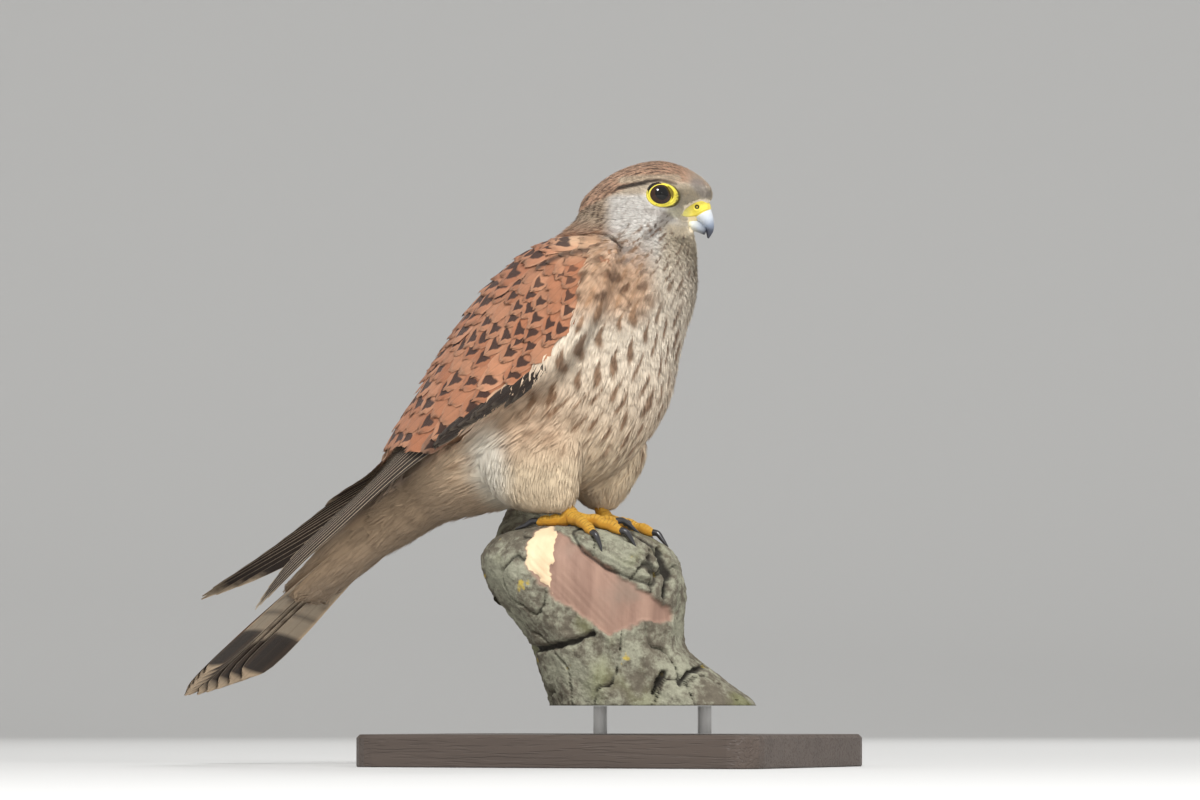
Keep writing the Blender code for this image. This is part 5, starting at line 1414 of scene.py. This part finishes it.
# Bill: a horn shell over bone, pale blue-grey at its base and near black at the hooked tip.
# The soft yellow cere round its base has a round nostril with a small peg, and the lower bill fits under it.
# Sections from base to tip in the head's frame: the upper line, the lower edge, and half the width.
CERE = ((22, 0, 14, -5, 5), (27.6, 0, 17.6, -6.6, 5.8), (30.4, -1.3, 20.8, -7.3, 5.6),
        (31, -3.9, 23.6, -8.2, 4.9))
BILL = ((30.4, -2.2, 21.8, -7.7, 4.7), (31, -3.9, 23.6, -8.2, 4.8), (31.9, -7, 25.4, -9.5, 3.9),
        (32.3, -10.4, 27.3, -11.4, 2.7), (31.9, -13.6, 28.6, -13.2, 1.5), (30, -16.6, 29.3, -16.2, 0.35))
MANDIBLE = ((13, -6.6, 13, -12, 4.6), (18, -6.8, 18, -12.3, 4.8), (22.4, -7.3, 21.8, -12.9, 4.4),
            (26, -8.9, 25, -13.8, 3.5), (29.4, -12, 28, -15, 2.0))
NOSTRIL = (25.6, -3.4)


def bill_grid(rows, rings, sides, keel=0.0):
    """Sections of the bill between its upper line and lower edge, drawn to a keel along the top."""
    a = math.tau * np.arange(sides) / sides
    row = between(rows, np.linspace(0, len(rows) - 1, rings))
    top = np.stack([row[:, 0], 0 * row[:, 0], row[:, 1]], 1)
    low = np.stack([row[:, 2], 0 * row[:, 0], row[:, 3]], 1)
    middle, half = (top + low) / 2, (top - low) / 2
    wide = row[:, 4:5] * (np.sin(a) * (1 - keel * np.clip(np.cos(a), 0, 1) ** 3))[None]
    points = middle[:, None] + half[:, None] * np.cos(a)[None, :, None]
    points[..., 1] += wide
    return points


cere_skin = Finish("cere skin")
pit = cere_skin.number("pit")
pores = cere_skin.grain(1300, 4)
colour = cere_skin.mix(pores, (0.58, 0.47, 0.05), (0.82, 0.68, 0.10))
colour = cere_skin.mix(cere_skin.number("rear") * 0.8, colour, (0.42, 0.38, 0.12))
# Painted shade: the nostril's hole is painted near black round its peg.
colour = cere_skin.mix(cere_skin.rise(pit, 0.3, 0.7), colour, (0.02, 0.014, 0.006))
cere_skin.set(Base_Color=colour, Roughness=0.4, **SOFT_SKIN)
cere_skin.relief(pores, 0.0001)
points = bill_grid(CERE, 60, 72)
cere_points, cere_faces = [head_point(points).reshape(-1, 3)], loft_faces(60, 72)
cere_pits = [np.zeros(60 * 72)]
solid = surface_tree(list(head_point(points)))
LONG, TALL = 96, 64
CERE_TOP = ((20.6, -4.6), (22.5, -2.9), (25, -1.5), (28, -0.5), (30.6, -1.9))
CERE_LOW = ((17.5, -7.9), (20.5, -7.9), (23.5, -7.6), (27, -6.4), (30.6, -4.1))
for side in (-1, 1):
    u = np.linspace(0, 1, LONG)[:, None, None]
    w = np.linspace(0, 1, TALL)[None, :, None]
    flat = between(CERE_TOP, 4 * u[..., 0]) * (1 - w) + between(CERE_LOW, 4 * u[..., 0]) * w
    face = np.zeros((LONG, TALL))
    outward = Vector(HEAD_AXES @ np.array((0, -side, 0)))
    for i, j in np.ndindex(LONG, TALL):
        start = Vector(head_point((flat[i, j, 0], side * 24, flat[i, j, 1])))
        hits = [tree.ray_cast(start, outward)[0] for tree in (bed, solid)]
        face[i, j] = max([0.0] + [abs(head_local(np.array(hit))[1]) for hit in hits if hit])
    for _ in range(30):
        face[1:-1, 1:-1] = (face[:-2, 1:-1] + face[2:, 1:-1] + face[1:-1, :-2] + face[1:-1, 2:]) / 4
    x, z = flat[..., 0], flat[..., 1]
    from_nostril = np.hypot(x - NOSTRIL[0], z - NOSTRIL[1])
    hole, peg = np.exp(-(from_nostril / 1.0) ** 6), np.exp(-(from_nostril / 0.36) ** 2)
    brim = np.exp(-((from_nostril - 1.45) / 0.5) ** 2)
    rim = ease(np.minimum(np.minimum(u, 1 - u) * 14, np.minimum(w, 1 - w) * 9))[..., 0]
    y = face - 0.5 + 0.95 * rim + 0.30 * brim - 0.36 * hole + 0.34 * peg
    first = sum(len(part) for part in cere_points)
    cere_points.append(head_point(np.stack([x, side * y, z], -1)).reshape(-1, 3))
    cere_pits.append((hole - peg).ravel())
    for i, j in np.ndindex(LONG - 1, TALL - 1):
        quad = (first + i * TALL + j, first + (i + 1) * TALL + j, first + (i + 1) * TALL + j + 1,
                first + i * TALL + j + 1)
        cere_faces.append(quad if side > 0 else quad[::-1])
cere_points = np.concatenate(cere_points)
rear = ease((24.5 - head_local(cere_points)[:, 0]) / 4)
cere = mesh_piece("cere_soft", cere_points, cere_faces, cere_skin,
                  {"pit": np.concatenate(cere_pits), "rear": rear})
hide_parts("cere")

bill_horn = Finish("bill horn")
along = bill_horn.number("along")
cloud = bill_horn.grain(700, 4)
tone = along + 0.10 * (cloud - 0.5)
colour = bill_horn.node("ShaderNodeValToRGB", {"stops": (
    (0.0, (0.52, 0.48, 0.32)), (0.10, (0.68, 0.69, 0.67)), (0.42, (0.48, 0.52, 0.57)),
    (0.62, (0.19, 0.225, 0.29)), (0.78, (0.045, 0.052, 0.075)), (1.0, (0.014, 0.015, 0.02)))}, {"Fac": tone})
bill_horn.set(Base_Color=colour, Roughness=0.24 + 0.12 * cloud, Coat_Weight=0.3, Coat_Roughness=0.12)
bill_horn.relief(bill_horn.grain(500, 2, bill_horn.stretched(0.3, 1, 1)), 0.00008)
points = bill_grid(BILL, 80, 96, 0.22)
share = np.linspace(0, 1, 80)[:, None] + np.zeros((1, 96))
low_edge = ease((-np.cos(math.tau * np.arange(96) / 96) - 0.2) / 0.6)[None]
tooth = np.exp(-((share - 0.63) / 0.05) ** 2) - 0.9 * np.exp(-((share - 0.71) / 0.035) ** 2)
points[..., 2] -= 0.45 * low_edge * tooth
bill = mesh_piece("bill_upper_horn", head_point(points), loft_faces(80, 96), bill_horn,
                  {"along": share.ravel()})
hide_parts("bill_upper")
lower_horn = Finish("lower bill horn")
along = lower_horn.number("along")
colour = lower_horn.node("ShaderNodeValToRGB", {"stops": (
    (0.0, (0.62, 0.50, 0.16)), (0.42, (0.66, 0.56, 0.26)), (0.58, (0.60, 0.61, 0.56)),
    (0.8, (0.30, 0.33, 0.37)), (1.0, (0.04, 0.045, 0.06)))},
    {"Fac": along + 0.08 * (lower_horn.grain(700, 3) - 0.5)})
lower_horn.set(Base_Color=colour, Roughness=0.32, Coat_Weight=0.2, Coat_Roughness=0.15)
lower_horn.relief(lower_horn.grain(900, 3), 0.00006)
points = bill_grid(MANDIBLE, 56, 72)
points[..., 1] *= 0.96
lower = mesh_piece("bill_lower_horn", head_point(points), loft_faces(56, 72), lower_horn,
                   {"along": np.repeat(np.linspace(0, 1, 56), 72)})
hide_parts("bill_lower")

# Feet: bare legs and toes in orange-yellow scutes, with soft pads under each joint, gripping the torn wood.
# Each is cast whole over a wire, and the dark horn claws are let into the toes' ends.
# Where the ankle stands, then for the back, inner, middle and outer toe the end's x and y and its radius.
FOOT_PLACES = {
    "right": ((0, -20, 2.2), ((-13, -23, 1.9), (16, -9, 1.9), (26, -22, 2), (17, -33, 1.8))),
    "left": ((-1, 17, 2.2), ((-14, 19, 1.9), (14, 8, 1.9), (24, 18, 2), (15, 29, 1.8))),
}
CLAWS = (("back", 11), ("inner", 11), ("middle", 10), ("outer", 9))
CLAW_BENDS = ((0.28, 0.1, 1.35), (0.56, -0.02, 1.05), (0.8, -0.2, 0.65), (0.95, -0.4, 0.2))
CLAW_RADII = (1.55, 1.35, 1.05, 0.65, 0.12)
perch_turns = [math.tau * k / 32 for k in range(32)]
perch_tree = surface_tree([[perch_point(height, a) for a in perch_turns] for height in PERCH_HEIGHTS])


def tube_rings(line, radii, sides, count):
    """Round sections along a smooth curve through a line of points."""
    rows = [(*point, radius) for point, radius in zip(line, radii)]
    path = between(rows, np.linspace(0, len(rows) - 1, count))
    side, rings = Vector((0.13, 1, 0.07)), []
    for i, row in enumerate(path):
        way = Vector(path[min(i + 1, count - 1)][:3]) - Vector(path[max(i - 1, 0)][:3])
        side = way.cross(side).cross(way).normalized()
        up = side.cross(way).normalized()
        turns = [math.tau * k / sides for k in range(sides)]
        ways = [math.cos(a) * side + math.sin(a) * up for a in turns]
        rings.append([Vector(row[:3]) + out * float(row[3]) for out in ways])
    return path, rings


foot_skin = Finish("scaled foot skin")
scale, shaded_crease, _ = foot_skin.three("scale")
cells = foot_skin.node("ShaderNodeTexVoronoi", {"feature": "DISTANCE_TO_EDGE"}, {"Scale": 1100.0}, "Distance")
cloud = foot_skin.grain(320, 4)
colour = foot_skin.mix(cloud, (0.66, 0.27, 0.018), (0.88, 0.46, 0.045))
colour = foot_skin.mix(scale * 0.45, colour, (0.92, 0.60, 0.10))
# Painted shade: the creases between the scutes are painted dark.
colour = foot_skin.mix(shaded_crease * 0.62, colour, (0.26, 0.10, 0.02))
foot_skin.set(Base_Color=colour, Roughness=0.38 + 0.2 * cloud, Specular_IOR_Level=0.5)
foot_skin.relief(foot_skin.rise(cells, 0.0, 0.14) * 0.8 + cloud * 0.3, 0.00018)
claw_horn = Finish("claw horn")
cloud = claw_horn.grain(500, 4, claw_horn.stretched(1, 1, 0.5))
colour = claw_horn.mix(cloud, (0.010, 0.010, 0.012), (0.034, 0.032, 0.034))
claw_horn.set(Base_Color=colour, Roughness=0.22 + 0.16 * cloud, Coat_Weight=0.4, Coat_Roughness=0.1)
claw_horn.relief(cloud, 0.00006)
for name, (joint, toes) in FOOT_PLACES.items():
    x, y, z = joint
    joint = Vector(joint)
    shank = [(x - 8.2, y, z + 24), (x - 5, y, z + 15), (x - 2, y, z + 5), (x, y, z - 0.3)]
    path, rings = tube_rings(shank, (2.6, 2.7, 2.9, 3.3), 36, 70)
    lofts, paths = [rings], [path]
    for (end_x, end_y, thick), (label, length) in zip(toes, CLAWS):
        end, line, radii = Vector((end_x, end_y, z)), [joint], [2.8]
        for k in range(1, 7):
            radius = 2.7 + (thick - 2.7) * k / 6 + (0.25 if k % 2 else -0.1)
            point = joint.lerp(end, k / 6) + Vector((0, 0, 0.5))
            line.append(held_off(perch_tree, point, radius + GAP + 0.02, rest=True))
            radii.append(radius)
        way = (line[-1] - line[-2]).normalized()
        down = -perch_tree.find_nearest(line[-1])[1]
        claw = [line[-1] + way * 0.2 - down * 0.2]
        for ahead, rise, radius in CLAW_BENDS:
            point = line[-1] + way * (GAP + 0.05 + length * ahead) - down * length * rise
            claw.append(held_off(perch_tree, point, radius + GAP))
        path, rings = tube_rings(line + [line[-1] + way * 1.5], radii + [thick * 0.66], 32, 90)
        lofts.append(rings)
        paths.append(path)
        _, rings = tube_rings(claw, CLAW_RADII, 24, 40)
        horn = mesh_piece(f"claw_horn_{name}_{label}", rings, loft_faces(40, 24), claw_horn)
        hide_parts(f"claw_{name}_{label}")
    ball = []
    for r in range(1, 16):
        rise, wide = 0.8 + 3.2 * math.cos(math.pi * r / 16), 3.4 * math.sin(math.pi * r / 16)
        turns = [math.tau * k / 24 for k in range(24)]
        ball.append([joint + Vector((wide * math.cos(a), wide * math.sin(a), rise)) for a in turns])
    lofts.append(ball)
    points, faces = mesh_arrays(fused("foot", lofts, 0.32))
    spans = []
    for path in paths:
        steps = np.linalg.norm(np.diff(path[:, :3], axis=0), axis=1)
        spans.append(np.concatenate([[0], np.cumsum(steps)]))
    best = np.full(len(points), 1e9)
    reach, above, which = np.zeros(len(points)), np.zeros(len(points)), np.zeros(len(points), int)
    for number, (path, span) in enumerate(zip(paths, spans)):
        gap = np.linalg.norm(points[:, None] - path[None, :, :3], axis=2)
        near = gap.argmin(1)
        closer = gap.min(1) < best
        best[closer] = gap.min(1)[closer]
        reach[closer], which[closer] = span[near][closer], number
        radial = points - path[near, :3]
        radial /= np.linalg.norm(radial, axis=1, keepdims=True) + 1e-9
        out = np.array([1.0, 0, 0]) if number == 0 else np.array([0, 0, 1.0])
        above[closer] = (radial @ out)[closer]
    pitch = np.where(which == 0, 2.3, 1.55)
    wave = np.abs(np.sin(math.pi * reach / pitch))
    top = ease((above - 0.05) / 0.4)
    scute = top * wave ** 0.45
    # Painted shade: where the creases between scutes are painted dark.
    shaded_crease = top * (1 - ease(wave / 0.34))
    pads = (1 - top) * (which > 0) * np.sin(math.pi * reach / 6.2) ** 2
    middle = np.array([paths[n][np.abs(spans[n] - r).argmin(), :3] for n, r in zip(which, reach)])
    out = points - middle
    out /= np.linalg.norm(out, axis=1, keepdims=True) + 1e-9
    points = points + out * (0.24 * scute - 0.12 + 0.35 * pads)[:, None]
    foot = mesh_piece("foot_skin_" + name, points, faces, foot_skin,
                      {"scale": np.stack([scute, shaded_crease, pads], 1)})
    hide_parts("foot_" + name)

# Floor: a plain pale studio floor that curves up into its own backdrop.
# It is part of the picture only, and the base stands on it.
floor_paint = Finish("pale studio floor")
floor_paint.set(Base_Color=(0.56, 0.56, 0.555), Roughness=0.85, Specular_IOR_Level=0.15)
profile = [(-4.0, 0.0), (2.4, 0.0)]
for k in range(1, 17):
    a = math.pi / 2 * k / 16
    profile.append((2.4 + 1.2 * math.sin(a), 1.2 - 1.2 * math.cos(a)))
profile.append((3.6, 5.0))
floor_points, floor_faces = [], []
facing = math.radians(25)
for reach, height in profile:
    for side in (-5.0, 5.0):
        floor_points.append((math.cos(facing) * side - math.sin(facing) * reach,
                             math.sin(facing) * side + math.cos(facing) * reach, height))
for i in range(len(profile) - 1):
    floor_faces.append((2 * i, 2 * i + 1, 2 * i + 3, 2 * i + 2))
floor_mesh = bpy.data.meshes.new("floor")
floor_mesh.from_pydata(floor_points, [], floor_faces)
floor_mesh.shade_smooth()
floor_mesh.materials.append(floor_paint.material)
floor = bpy.data.objects.new("floor", floor_mesh)
bpy.context.scene.collection.objects.link(floor)

# Light: an even soft sky, and three round lamps: a key high over the camera, a low fill and one behind.
# Together they give a soft light that is stronger from above and in front.
world = bpy.data.worlds.new("studio")
world.use_nodes = True
world.node_tree.nodes["Background"].inputs["Color"].default_value = (1.0, 0.99, 0.97, 1)
world.node_tree.nodes["Background"].inputs["Strength"].default_value = 0.70
bpy.context.scene.world = world
AIM = Vector((0, 0, 0.16))
for name, azimuth, height, reach, size, power in (
        ("key lamp", -6, 1.6, 1.7, 0.6, 40), ("fill lamp", 38, 0.7, 2.0, 1.2, 21),
        ("back lamp", 165, 1.5, 1.6, 0.9, 14)):
    turn = math.radians(azimuth) + facing
    lamp = bpy.data.lights.new(name, "AREA")
    lamp.shape, lamp.size, lamp.energy = "DISK", size, power
    holder = bpy.data.objects.new(name, lamp)
    holder.location = (math.sin(turn) * reach, -math.cos(turn) * reach, height)
    holder.rotation_euler = (AIM - holder.location).to_track_quat("-Z", "Y").to_euler()
    holder.visible_glossy = name == "key lamp"
    bpy.context.scene.collection.objects.link(holder)

# Camera: the photo's own side view, from a little below the bird's level, with its framing.
# It stays above the floor.
DISTANCE, TILT = 2.2, math.radians(-3.5)
PHOTO_WIDTH, PIXEL, SENSOR = 1200, 0.000435, 36
right = Vector((math.cos(facing), math.sin(facing), 0))
back = Vector((math.sin(facing) * math.cos(TILT), -math.cos(facing) * math.cos(TILT), math.sin(TILT)))
lens = bpy.data.cameras.new("camera")
lens.sensor_width = SENSOR
lens.lens = SENSOR * DISTANCE / (PHOTO_WIDTH * PIXEL)
lens.clip_start, lens.clip_end = 0.05, 50
camera = bpy.data.objects.new("camera", lens)
aim = FEET * MM + right * 0.00435 + Vector((0, 0, 0.05307))
camera.location = aim + back * DISTANCE
camera.rotation_euler = (-back).to_track_quat("-Z", "Y").to_euler()
bpy.context.scene.collection.objects.link(camera)
bpy.context.scene.camera = camera
bpy.context.scene.view_settings.view_transform = "Standard"
